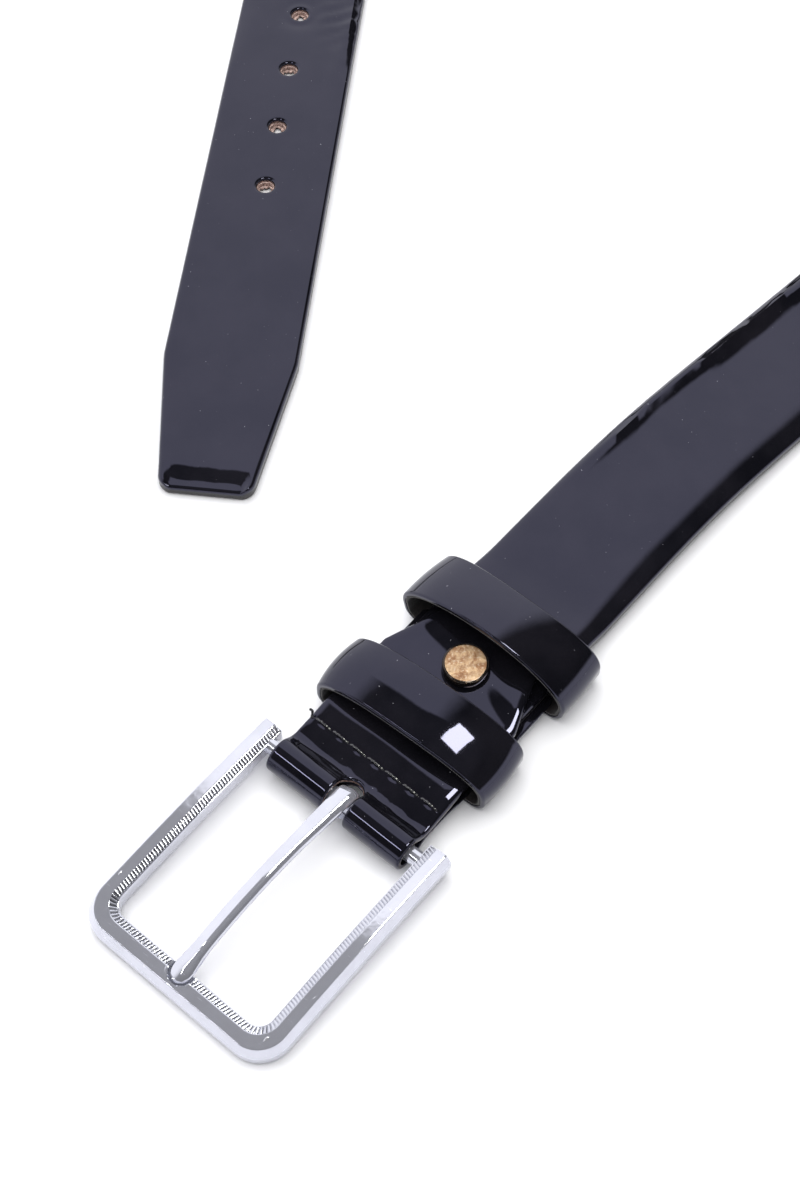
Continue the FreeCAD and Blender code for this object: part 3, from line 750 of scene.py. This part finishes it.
def billet_shape(u, a, w):
    """Carries height w across the leather round the fold: length, sideways place, height.

    Its face puckers between the stitches, creases where the slot ends, tucks up behind the
    stitches, swells round the rivet and thins to a lip at the edges.
    """
    x, z = point_at(u, FOLD_U, FOLD)
    dx, dz = point_at(u + 0.15, FOLD_U, FOLD) - point_at(u - 0.15, FOLD_U, FOLD)
    size = np.hypot(dx, dz)
    nx, nz = -dz / size, dx / size
    outer = np.clip(w / BILLET_T, 0, 1)
    between = np.cos(2 * math.pi * (a / STITCH_PITCH - 0.5))
    pucker = (PUCKER * between - 0.2) * bell(x - STITCH_X, 0.9)
    fan = np.arctan2(x - 3.0, np.abs(a) + 0.01)
    clear = smooth((np.hypot(x - 3.0, a) - 3.5) / 3.0)
    crease = CREASE * np.sin(fan * 17.0 + 0.7 * a) * clear * bell(x - 5.0, 3.0)
    tuck = TUCK * smooth((x - 4.6) / 9.0) * (1 - smooth((x - 13.0) / 7.0)) * (z > 0)
    wave = 0.05 * np.sin(a / 3.1 + 0.4) * smooth((x - 14.0) / 8.0) + 0.03 * np.sin(x / 2.3 + a / 6.0)
    upper = smooth((u - fold_place(STITCH_X + 8.0, True)) / 6.0)
    from_rivet = np.hypot(x - RIVET_X, a)
    far_side = smooth((x - RIVET_X + 4.0 - 0.25 * a) / 9.0)
    swell = (0.4 + 0.9 * far_side) * (1 - bell(from_rivet, 8.0)) * upper
    lip = LIP * np.clip(1 - (billet_half(u) - np.abs(a)) / 2.6, 0, 1) ** 2 * smooth((x - 6.0) / 5.0)
    h = w - BILLET_T / 2 + outer * (pucker + crease + wave + swell + tuck - lip)
    return np.stack([x + nx * h, a, BAR_Z + z + nz * h], 1)


def build_billet(coat):
    """The folded leather, with some bare fibre on the cut walls of its slot and sides."""
    flat, faces, _ = billet_plan()
    points, quads, solid = thick_sheet(flat, faces, 0.0, BILLET_T, 0.25, 0.55, 4, billet_shape)
    sheet = len(flat)
    bare = np.zeros(len(solid))
    length, sideways, _ = solid[sheet:-sheet].T
    at_x = np.interp(length, FOLD_U, FOLD[:, 0])
    slot_wall = (np.abs(sideways) < SLOT_HALF + 0.1) & (at_x < SLOT_END + 0.2)
    side_wall = (np.abs(sideways) > BILLET_HALF - 0.4) & (at_x < STITCH_X + 4.0)
    bare[sheet:-sheet] = 0.55 * slot_wall + 0.35 * side_wall
    quads = turned(points, quads)
    piece("billet_leather", points, quads, "strap", "billet", coat, mark=("raw", bare))


THREAD_R, THREAD_TWIST, THREAD_SIDES, THREAD_ROWS = 0.36, 5.0, 10, 22


def strand(path):
    """A two-ply thread: a lobed section turned steadily while it is carried along a path."""
    path, length = resample(path, len(path))
    along = unit(np.gradient(path, axis=0))
    side = unit(np.cross(along, [0.0, 0.0, 1.0]))
    up = np.cross(side, along)
    angle = np.linspace(0, 2 * math.pi, THREAD_SIDES, endpoint=False)
    turn = np.linspace(0, length * THREAD_TWIST, len(path))
    lobe = THREAD_R * (0.86 + 0.14 * np.cos(2 * angle[None, :] + turn[:, None]))
    ends = np.minimum(np.arange(len(path)), np.arange(len(path))[::-1])
    lobe = lobe * np.minimum(1.0, 0.35 + ends[:, None] / 2.5)
    ring = side[:, None] * np.cos(angle)[None, :, None] + up[:, None] * np.sin(angle)[None, :, None]
    return loft(path[:, None] + ring * lobe[..., None])


def build_thread(material):
    """Stitches that dip into each hole, above and below the pinched flaps, and a loose cut end."""
    holes = (np.arange(STITCH_COUNT) - (STITCH_COUNT - 1) / 2) * STITCH_PITCH
    points, faces = [], []
    count = 0
    t = np.linspace(0.0, 1.0, THREAD_ROWS)
    paths = []
    for i in range(STITCH_COUNT - 1):
        y = holes[i] + (holes[i + 1] - holes[i]) * t
        hump = np.sqrt(np.maximum(np.sin(math.pi * t), 0)) * 0.9
        slant = 0.28 * (t - 0.5)
        paths.append(np.stack([STITCH_X + slant, y, BAR_Z + PINCH + 0.7 + hump], 1))
        paths.append(np.stack([STITCH_X - slant, y, BAR_Z - PINCH - 0.45 - hump], 1))
    end = holes[-1]
    paths.append(curve_through([
        (STITCH_X, end, BAR_Z + 1.4), (STITCH_X - 0.2, end + 0.7, BAR_Z + 2.5),
        (STITCH_X + 0.5, end + 1.2, BAR_Z + 3.4), (STITCH_X + 0.1, end + 1.7, BAR_Z + 4.3),
    ], THREAD_ROWS))
    for path in paths:
        skin, around = strand(path)
        points.append(skin)
        faces += [[v + count for v in face] for face in around]
        count += len(skin)
    piece("billet_stitching", np.concatenate(points), faces, "strap", "billet_thread", material)


# ---- keepers ----
KEEPER_HALF_LENGTH = 7.75
KEEPER_INNER_HALF = 21.5
KEEPER_INNER_TOP = 12.8
KEEPER_SHOULDER = 5.8
KEEPER_T = 1.7
KEEPER_LINING_T = 0.65
FIXED_KEEPER_X = 26.2
FIXED_KEEPER_INNER_HALF = 22.3
FIXED_KEEPER_YAW = 3.0
FREE_KEEPER_X = 56.6
FIXED_KEEPER_TOPS, FREE_KEEPER_TOPS = (12.5, 13.1), (16.4, 12.6)
FIXED_KEEPER_DOME, FREE_KEEPER_DOME = 1.0, 0.5
KEEPER_CORNER_R = 2.2
KEEPER_ARCH_POWER = 2.0 / 2.3
KEEPER_ROWS = 280
FLAT_PART, DOMED_PART = 0.3, 0.55


def keeper_ring(half):
    """Inner outline of a keeper across the strap, and its outward normals.

    Flat floor from the butt joint, small round corners, and a flattened elliptical arch.
    """
    r = KEEPER_CORNER_R
    a = np.linspace(0.0, math.pi, 180)
    y = half * np.sign(np.cos(a)) * np.abs(np.cos(a)) ** KEEPER_ARCH_POWER
    z = KEEPER_SHOULDER + (KEEPER_INNER_TOP - KEEPER_SHOULDER) * np.abs(np.sin(a)) ** KEEPER_ARCH_POWER
    arch = np.stack([y, z], 1)
    corner = np.linspace(-math.pi / 2, 0.0, 14)
    bend = np.stack([half - r + r * np.cos(corner), KEEPER_T + r + r * np.sin(corner)], 1)
    right = np.vstack([[0.15, KEEPER_T], bend])
    left = right[::-1] * [-1, 1]
    ring, _ = resample(np.vstack([right, arch, left]), KEEPER_ROWS)
    return ring, -normals_2d(ring)


def band_section(half, low, high, dome, radius):
    """Closed section of a band: place along the strap and depth outwards, domed and rounded."""
    corner = np.linspace(0.0, math.pi / 2, 7)
    x = np.linspace(-half + radius, half - radius, 15)
    top = high + dome * (1 - (x / half) ** 2)
    edge = high + dome * (1 - ((half - radius) / half) ** 2) - radius
    right = np.stack([half - radius + radius * np.sin(corner), edge + radius * np.cos(corner)], 1)[1:]
    left = right[::-1] * [-1, 1]
    small = 0.12
    under = np.linspace(half - small, -half + small, 9)
    inner = np.stack([under, np.full(9, low)], 1)
    crest = np.stack([x, top], 1)
    return np.vstack([crest, right, [[half, low + small]], inner, [[-half, low + small]], left])


def build_keeper(node, centre, lift, half, yaw, tops, dome, coat, suede, phase):
    """A leather loop: the band's section carried round the ring, its crown between two heights.

    The part under the strap stays flat, so the loop rests on the table. The dome and the slant
    from one height to the other grow up the sides.
    """
    pitch = (tops[1] - tops[0]) / (2 * KEEPER_HALF_LENGTH)
    rise = (tops[0] + tops[1]) / 2 - KEEPER_INNER_TOP
    ring, out = keeper_ring(half)
    s = np.linspace(0.0, 1.0, KEEPER_ROWS)[:, None]
    crown = np.sin(math.pi * s) ** 2
    lean = 0.35 * np.sin(2 * math.pi * s + phase) * crown
    shaped = smooth((crown - FLAT_PART) / (DOMED_PART - FLAT_PART))
    turn = math.radians(yaw)
    body = "strap" if node == "fixed_keeper" else "free_keeper"
    skin = band_section(KEEPER_HALF_LENGTH, KEEPER_LINING_T, KEEPER_T, dome, 0.7)
    nap = band_section(KEEPER_HALF_LENGTH - 0.1, 0.0, KEEPER_LINING_T - 0.02, 0.0, 0.2)
    layers = (("face", skin, coat, "patent_leather"), ("lining", nap, suede, "suede"))
    for part, section, material, slot in layers:
        along, depth = section.T
        depth = depth - (1 - shaped) * np.maximum(depth - KEEPER_T, 0.0)
        depth = depth + (rise + pitch * along) * shaped * crown ** 2
        if part == "face":
            swell = 0.10 * np.sin(5 * math.pi * s + phase) * along / KEEPER_HALF_LENGTH
            depth = depth + swell * shaped * crown * (depth > 1.0)
        away = along + lean
        y = ring[:, :1] + out[:, :1] * depth
        z = ring[:, 1:] + out[:, 1:] * depth + lift
        x = centre + away * math.cos(turn) - y * math.sin(turn)
        y = away * math.sin(turn) + y * math.cos(turn)
        points, faces = loft(np.stack([x, y, z], -1))
        named = node + "_" + part
        piece(named + "_band", points, faces, body, named, material)


# ---- rivet ----
RIM_R, RIM_ROUND, RIM_SHOULDER = 5.45, 0.6, 1.8
SEAT_R, SEAT_DEPTH = 5.05, 1.75
DISC_R, DISC_TOP, DISC_CROWN = 5.02, 2.27, 0.05
DENT, DENT_REACH = 0.03, 4.7
RIVET_SIDES = 96


def lathe(profile, dent=0.0):
    """Surface of revolution about the rivet's axis, closed at its poles, dented by two sine waves.

    The profile is given as (radius, height over the leather).
    """
    sides = RIVET_SIDES
    angle = np.linspace(0, 2 * math.pi, sides, endpoint=False)
    r, z = np.array(profile)[1:-1].T[..., None]
    x, y = r * np.cos(angle), r * np.sin(angle)
    z = z + dent * np.sin(x * 1.7 + 1.0) * np.sin(y * 2.1) * (np.hypot(x, y) < DENT_REACH)
    last = (len(r) - 1) * sides
    start = len(r) * sides
    faces = lattice(len(r), sides)
    faces += [[start, (i + 1) % sides, i] for i in range(sides)]
    faces += [[start + 1, last + i, last + (i + 1) % sides] for i in range(sides)]
    poles = [[0.0, 0.0, profile[0][1]], [0.0, 0.0, profile[-1][1]]]
    points = np.vstack([np.stack([x, y, z], -1).reshape(-1, 3), poles]) + [RIVET_X, 0.0, STACK_TOP]
    return points, turned(points, faces)


def build_rivet(rim, bronze):
    """The stud's rimmed cap and the disc in its seat, both turned about its axis."""
    corner = np.linspace(0, math.pi / 2, 8)
    flank = RIM_R - RIM_ROUND
    shoulder = RIM_ROUND * np.stack([np.cos(corner), np.sin(corner)], 1) + [flank, RIM_SHOULDER]
    cap = [(0.0, 0.0), (5.0, 0.0), (5.3, 0.15), (RIM_R, 0.5), *shoulder, (5.24, 2.28), (5.08, 2.2)]
    points, faces = lathe(cap + [(SEAT_R, SEAT_DEPTH), (0.0, SEAT_DEPTH)])
    piece("rivet_rim", points, faces, "strap", "rivet_cap", rim)
    disc = [(0.0, DISC_TOP)]
    disc += [(r, DISC_TOP - DISC_CROWN * (r / 4.6) ** 2) for r in np.linspace(0.3, 4.8, 16)]
    disc += [(4.95, 2.2), (DISC_R, 2.05), (DISC_R, 1.78), (0.0, 1.78)]
    points, faces = lathe(disc, DENT)
    piece("rivet_disc", points, faces, "strap", "rivet_inlay", bronze)


# ---- buckle ----
FRAME_HALF_W, FRAME_FRONT, FRAME_BACK = 28.0, -58.0, 4.0
FRAME_T, FRAME_CORNER_R, BEVEL_W = 5.0, 8.5, 1.5
WINDOW_HALF_W, WINDOW_FRONT, WINDOW_CORNER_R = 22.0, -51.6, 3.6
MILL_W, MILL_DEPTH, MILL_PITCH = 1.9, 0.7, 0.84
ARCH_R, ARCH_X, FRAME_TILT = 450.0, -26.0, 2.15
NOTCH_X, NOTCH_R, NOTCH_DEPTH = -52.65, 3.0, 1.7
NOTCH_SOFT, NOTCH_RIM = 0.35, 0.08
RIB_HEIGHT, RIB_SLANT, STRIP_SLOPE = 0.36, 0.5, 0.42


def u_line(half, front, radius, arm, bend, rail):
    """Plan of one side of the frame: arm, corner arc, front rail, corner arc, arm."""
    corner_x, corner_y = front + radius, half - radius
    down = np.stack([FRAME_BACK + (corner_x - FRAME_BACK) * arm, np.full(len(arm), half)], 1)
    turn = bend * math.pi / 2
    first = np.stack([corner_x - radius * np.sin(turn), corner_y + radius * np.cos(turn)], 1)
    across = np.stack([np.full(len(rail), front), corner_y * rail], 1)
    second = first[::-1] * [1, -1]
    return np.vstack([down, first, across, second, down[::-1] * [1, -1]])


def frame_bend(points):
    """Arches the flat frame about the bar's direction, tilts it and lifts it to the bar."""
    x, y, z = np.moveaxis(points, -1, 0)
    z = z + np.sqrt(ARCH_R ** 2 - (x - ARCH_X) ** 2) - math.sqrt(ARCH_R ** 2 - ARCH_X ** 2)
    t = math.radians(FRAME_TILT)
    return np.stack([x * math.cos(t) - z * math.sin(t), y, x * math.sin(t) + z * math.cos(t) + BAR_Z], -1)


def notch(points):
    """Sinks a round seat for the prong into the front rail and raises a soft rim round it."""
    x, y, z = np.moveaxis(points, -1, 0)
    past = np.hypot(x - NOTCH_X, y) - NOTCH_R
    floor = FRAME_T / 2 - NOTCH_DEPTH
    inside = 1.0 - smooth((past + NOTCH_SOFT) / 0.5)
    sunk = np.where(z > floor, z + (floor - z) * inside, z)
    rim = NOTCH_RIM * bell(past - NOTCH_SOFT, 0.28) * (z > FRAME_T / 2 - MILL_DEPTH - 0.2)
    return np.stack([x, y, sunk + rim], -1)


def frame_plan(arm, bend, rail, inset=0.0):
    """The window's edge, or the line a distance outside it, with the given rows on each stretch."""
    radius = WINDOW_CORNER_R + inset
    return u_line(WINDOW_HALF_W + inset, WINDOW_FRONT - inset, radius, arm, bend, rail)


def build_frame(chrome):
    """The frame's section carried along its U, between the window's edge and the outside."""
    arm = np.concatenate([[0.0, 0.004, 0.015], np.linspace(0.03, 0.99, 46)])
    bend = np.linspace(0.0, 1.0, 22)
    half_rail = np.concatenate([np.linspace(0.98, 0.27, 26), np.linspace(0.255, 0.0, 32)])
    rail = np.concatenate([half_rail, -half_rail[:-1][::-1]])
    inner = frame_plan(arm, bend, rail)
    outer = u_line(FRAME_HALF_W, FRAME_FRONT, FRAME_CORNER_R, arm, bend, rail)
    away = outer - inner
    span = np.linalg.norm(away, axis=1)[:, None]
    away /= span
    top, base = FRAME_T / 2, -FRAME_T / 2
    step = top - MILL_DEPTH
    flat_start = MILL_W + 0.14
    # (offset, height): the window's wall, the milled step and the riser to the flat top
    near = [(0.18, base), (0.05, base + 0.05), (0.0, base + 0.2), (0.0, -1.0), (0.0, 0.8)]
    near += [(0.0, step - 0.12), (0.04, step - 0.03), (0.12, step), (0.45, step), (0.85, step)]
    near += [(MILL_W - 0.1, step), (MILL_W, step + 0.08), (MILL_W, top - 0.12)]
    near += [(MILL_W + 0.05, top - 0.03), (flat_start, top)]
    # (offset, height) from the outside: the bevel, the side and the underside
    far = [(BEVEL_W, top), (BEVEL_W - 0.12, top - 0.03), (BEVEL_W - 0.19, top - 0.1)]
    far += [(0.66 * BEVEL_W, top - 0.68), (0.33 * BEVEL_W, top - 1.4), (0.1, 0.46), (0.03, 0.34)]
    far += [(0.0, 0.2), (0.0, -1.0), (0.0, base + 0.4), (0.1, base + 0.12), (0.35, base), (1.5, base)]
    rows = [(inner + away * offset, z) for offset, z in near]
    for share in (0.12, 0.25, 0.38, 0.5, 0.62, 0.75, 0.88):
        rows.append((inner + away * (flat_start + (span - BEVEL_W - flat_start) * share), top))
    rows += [(outer - away * offset, z) for offset, z in far]
    rows += [(inner + away * offset, base) for offset in (2.0, 1.0)]
    body = np.stack([np.column_stack([plan, np.full(len(plan), z)]) for plan, z in rows], 1)
    # the arms' cut ends: the last sections shrink a little, for a rounded arris
    middle = body.mean(1, keepdims=True)
    shrink = np.ones(len(body))
    shrink[[0, -1]], shrink[[1, -2]] = 0.94, 0.985
    body = middle + (body - middle) * shrink[:, None, None]
    body[[0, -1], :, 0] = FRAME_BACK
    points, faces = loft(frame_bend(notch(body)))
    piece("buckle_frame_chrome", points, faces, "buckle", "buckle_frame", chrome)


def build_milling(chrome):
    """The milled strip: half-round ribs across the step, one every pitch, with painted shade between."""
    arm, bend = np.linspace(0.006, 1.0, 430), np.linspace(0.0, 1.0, 60)[1:-1]
    rail = np.linspace(1.0, -1.0, 330)
    near, far = frame_plan(arm, bend, rail), frame_plan(arm, bend, rail, MILL_W)
    centre = (near + far) / 2
    run = lengths(centre)
    step = FRAME_T / 2 - MILL_DEPTH
    share = np.array([0.13, 0.17, 0.3, 0.5, 0.7, 0.95, 1.0])
    phase = np.abs((run[:, None] + RIB_SLANT * share) / MILL_PITCH % 1.0 * 2 - 1)
    fade = np.where(share < 0.15, 0.35, 1.0)
    rib = RIB_HEIGHT * np.cos(phase * math.pi / 2) ** 0.8
    height = step - 0.06 + STRIP_SLOPE * share + rib * fade
    # painted shade between the ribs, darkest in the gaps; one arm gets more of it than the rest of the
    # strip
    strong = 0.2 + 0.62 * smooth((phase - 0.3) / 0.4)
    faint = 0.06 + 0.26 * smooth((phase - 0.4) / 0.4)
    rib_gap_shade = np.where(centre[:, 1:] > WINDOW_HALF_W - 0.5, strong, faint)
    # the strip's underside closes it, two rows below the step
    below = np.full((len(run), 2), step - 0.25)
    share = np.append(share, [1.0, 0.14])[:, None]
    plan = near[:, None] + (far - near)[:, None] * share
    strip = np.concatenate([plan, np.hstack([height, below])[..., None]], -1)
    # the painted shade for each point of the strip, the two closing rows copying their neighbours
    groove_shade = np.hstack([rib_gap_shade, rib_gap_shade[:, -1:], rib_gap_shade[:, :1]]).ravel()
    cut = np.hypot(strip[..., 0] - NOTCH_X, strip[..., 1]) < NOTCH_R + 0.45
    seat = FRAME_T / 2 - NOTCH_DEPTH - 0.3
    strip[..., 2] = np.where(cut, np.minimum(strip[..., 2], seat), strip[..., 2])
    points, faces = loft(frame_bend(strip))
    mark = ("groove_shade", groove_shade)
    piece("buckle_milling", points, faces, "buckle", "", chrome, sharp=50, mark=mark)


PRONG_RING_R = 2.88
SHANK_ROWS, RING_ROWS = 150, 50


def build_prong(chrome):
    """A bevelled section carried from the drop tip along the arched shank and round the bar.

    The section is given as (share of half width, share of half thickness): a roof with a broad
    slope on one side of its blunt ridge and a steeper one on the other, rounded sides and a
    flat belly. It softens to an oval at the tip.
    """
    shank = curve_through([
        (-55.3, -0.75), (-54.0, -0.35), (-51.5, 0.35), (-46.0, 2.05), (-36.0, 3.95),
        (-24.0, 4.65), (-12.0, 4.0), (-4.0, 3.2), (0.0, PRONG_RING_R),
    ], SHANK_ROWS)
    bend = np.linspace(math.radians(88), math.radians(-165), RING_ROWS)
    ring = PRONG_RING_R * np.stack([np.cos(bend), np.sin(bend)], 1)
    line = np.vstack([shank, ring])
    normal = normals_2d(line)
    x = line[:, 0]
    wide = np.interp(x[:SHANK_ROWS], [-55.3, -54.9, -54.2, -53.0, -51.5, -49.0, -46.0, -16.0, -5.0, 0.0],
                     [0.15, 1.3, 2.0, 2.5, 2.6, 2.35, 2.1, 2.1, 2.4, 2.5])
    wide = np.append(wide, np.full(RING_ROWS, wide[-1]))
    thick = np.interp(x[:SHANK_ROWS], [-55.3, -55.0, -54.4, -53.4, -52.0, -50.0, -46.0, -24.0, -6.0, 0.0],
                      [0.12, 0.5, 0.85, 1.12, 1.25, 1.2, 0.95, 1.0, 0.95, 0.8])
    thick = np.append(thick, np.full(RING_ROWS, thick[-1]))
    broad = [(-0.2, 1.0), (-0.05, 0.97), (0.84, 0.36), (0.95, 0.2), (1.0, -0.1), (0.9, -0.7)]
    narrow = [(-0.6, -0.98), (-0.8, -0.82), (-0.96, -0.5), (-1.0, -0.2), (-0.99, 0.0), (-0.93, 0.2)]
    narrow += [(-0.82, 0.5), (-0.72, 0.68), (-0.5, 0.9), (-0.34, 0.99)]
    section = np.array(broad + [(0.6, -0.98), (0.2, -1.0), (-0.2, -1.0)] + narrow)
    angle = np.arctan2(section[:, 1], section[:, 0])
    oval = np.stack([np.cos(angle), np.sin(angle)], 1)
    soft = smooth((-47.0 - x) / 5.0)[:, None, None]
    section = section[None] * (1 - soft) + oval[None] * soft
    depth = section[..., 1] * thick[:, None]
    y = section[..., 0] * wide[:, None]
    x = line[:, :1] + normal[:, :1] * depth
    z = line[:, 1:] + normal[:, 1:] * depth + BAR_Z
    points, faces = loft(np.stack([x, y, z], -1))
    piece("prong_chrome", points, faces, "prong", "prong", chrome, sharp=25)


# ---- camera, floor and light ----
FLOOR_Z, FLOOR_REACH = -0.0002, 6.0
CAMERA_EYE, CAMERA_AIM = (-145.8, -139.7, 419.0), (51.1, 26.7, 0.0)
CAMERA_LENS, CAMERA_SENSOR = 61.4, 36.0


def over(place):
    """The scene's place, in metres, of a point given in millimetres from the bar over the table."""
    return Vector(np.array(place) * MM + ORIGIN)


def aimed(obj, place, target):
    """Puts a camera or lamp at a place and points it at a target."""
    obj.location = place
    obj.rotation_mode = "QUATERNION"
    obj.rotation_quaternion = (Vector(target) - Vector(place)).to_track_quat("-Z", "Y")


def soft_light(name, place, target, size, power, mirrored, blue=1.0):
    """A rectangular lamp, seen either only in reflections or only as plain light."""
    lamp = bpy.data.lights.new(name, "AREA")
    lamp.shape = "RECTANGLE"
    lamp.size, lamp.size_y = size
    lamp.energy = power
    lamp.color = (0.99, 0.99, blue)
    holder = placed(name, lamp)
    aimed(holder, place, target)
    holder.visible_glossy = mirrored
    holder.visible_diffuse = not mirrored


def studio():
    """White table, camera, surroundings and lamps."""
    floor_mesh = bpy.data.meshes.new("floor")
    corners = [(-1, -1), (1, -1), (1, 1), (-1, 1)]
    corners = [(x * FLOOR_REACH, y * FLOOR_REACH, FLOOR_Z) for x, y in corners]
    floor_mesh.from_pydata(corners, [], [(0, 1, 2, 3)])
    floor = placed("floor", floor_mesh)
    p = Paint("floor_paint")
    floor_mesh.materials.append(p.finish({"Base Color": (0.93, 0.93, 0.94, 1), "Roughness": 0.6}))

    camera = placed("camera", bpy.data.cameras.new("camera"))
    aimed(camera, over(CAMERA_EYE), over(CAMERA_AIM))
    camera.data.lens, camera.data.sensor_width = CAMERA_LENS, CAMERA_SENSOR
    camera.data.clip_start, camera.data.clip_end = 0.01, 20.0
    bpy.context.scene.camera = camera

    world = bpy.data.worlds.new("studio")
    bpy.context.scene.world = world
    world.use_nodes = True
    p = Paint("studio", world.node_tree)
    # a ray's direction: a bright window overhead, a side wall and a bright horizon, dark between
    where = p.node("TexCoord", output=0)
    x, y, z = (p.node("SeparateXYZ", {}, [where], output=i) for i in range(3))
    window = x.ramp(0.20, 0.255) * y.ramp(0.09, 0.23) * z.ramp(0.928, 0.942, 1.0, 0.0)
    side_wall = y.ramp(0.44, 0.64) * z.ramp(0.84, 0.88, 1.0, 0.0)
    horizon = z.ramp(0.20, 0.34, 1.0, 0.0).math("MAXIMUM", side_wall)
    glow = window.math("MAXIMUM", horizon) * 1.28 + z.ramp(0.80, 0.95, 0.03, 0.10)
    back = p.node("Background", {}, {"Color": (0.97, 0.97, 1.0, 1), "Strength": glow})
    p.output("World", back)
    bpy.context.scene.view_settings.view_transform = "Standard"

    soft_light("overhead", (0.0, 0.0, 2.2), (0.0, 0.0, 0.0), (3.2, 3.2), 82.0, False)
    soft_light("key_card", over((87, -18, 257)), over((26, -12, 15)), (0.056, 0.1), 0.42, True, 0.88)
    soft_light("side_strip", over((-226, 174, 424)), over((-1, 14, 9)), (0.2, 0.03), 0.26, True)


coat = patent_leather()
filler = board("strap_filler", (0.006, 0.006, 0.008), (0.014, 0.013, 0.016))
backing = board("strap_backing", (0.012, 0.011, 0.012), (0.045, 0.04, 0.04))
chrome = plated("chrome", (0.67, 0.68, 0.755), 0.27)
steel = plated("steel", (0.62, 0.62, 0.64), 0.3)
bronze = aged_bronze()
suede = suede_lining()
# black waxed thread with a fine lay across its plies and bright waxy tops
thread = mottled(
    "thread", (4000.0, 3.0, 0.6), (0.4, 0.7), (0.006, 0.006, 0.008), (0.05, 0.05, 0.055),
    (0.12, 0.3), (0.00005, 0.6), {"Specular IOR Level": 1.0},
)
# blackened gloss plating on the stud's rim, rubbed bronze here and there
rim = mottled(
    "rivet_rim", (500.0, 4.0, 0.6), (0.55, 0.75), (0.05, 0.04, 0.035), (0.35, 0.22, 0.12),
    (0.08, 0.2), (0.00003, 0.4), {"Metallic": 0.8},
)
build_strap(coat, filler, backing)
build_billet(coat)
build_thread(thread)
build_keeper(
    "fixed_keeper", FIXED_KEEPER_X, STACK_BASE - KEEPER_T, FIXED_KEEPER_INNER_HALF, FIXED_KEEPER_YAW,
    FIXED_KEEPER_TOPS, FIXED_KEEPER_DOME, coat, suede, 0.6,
)
build_keeper(
    "free_keeper", FREE_KEEPER_X, 0.0, KEEPER_INNER_HALF, 0.0,
    FREE_KEEPER_TOPS, FREE_KEEPER_DOME, coat, suede, 2.1,
)
build_rivet(rim, bronze)
build_frame(chrome)
build_milling(chrome)
build_prong(chrome)
for name, node in frame["nodes"].items():
    if not node.hide_render:
        node.data.materials.clear()
        node.data.materials.append(chrome if name == "buckle_bar" else steel)
studio()
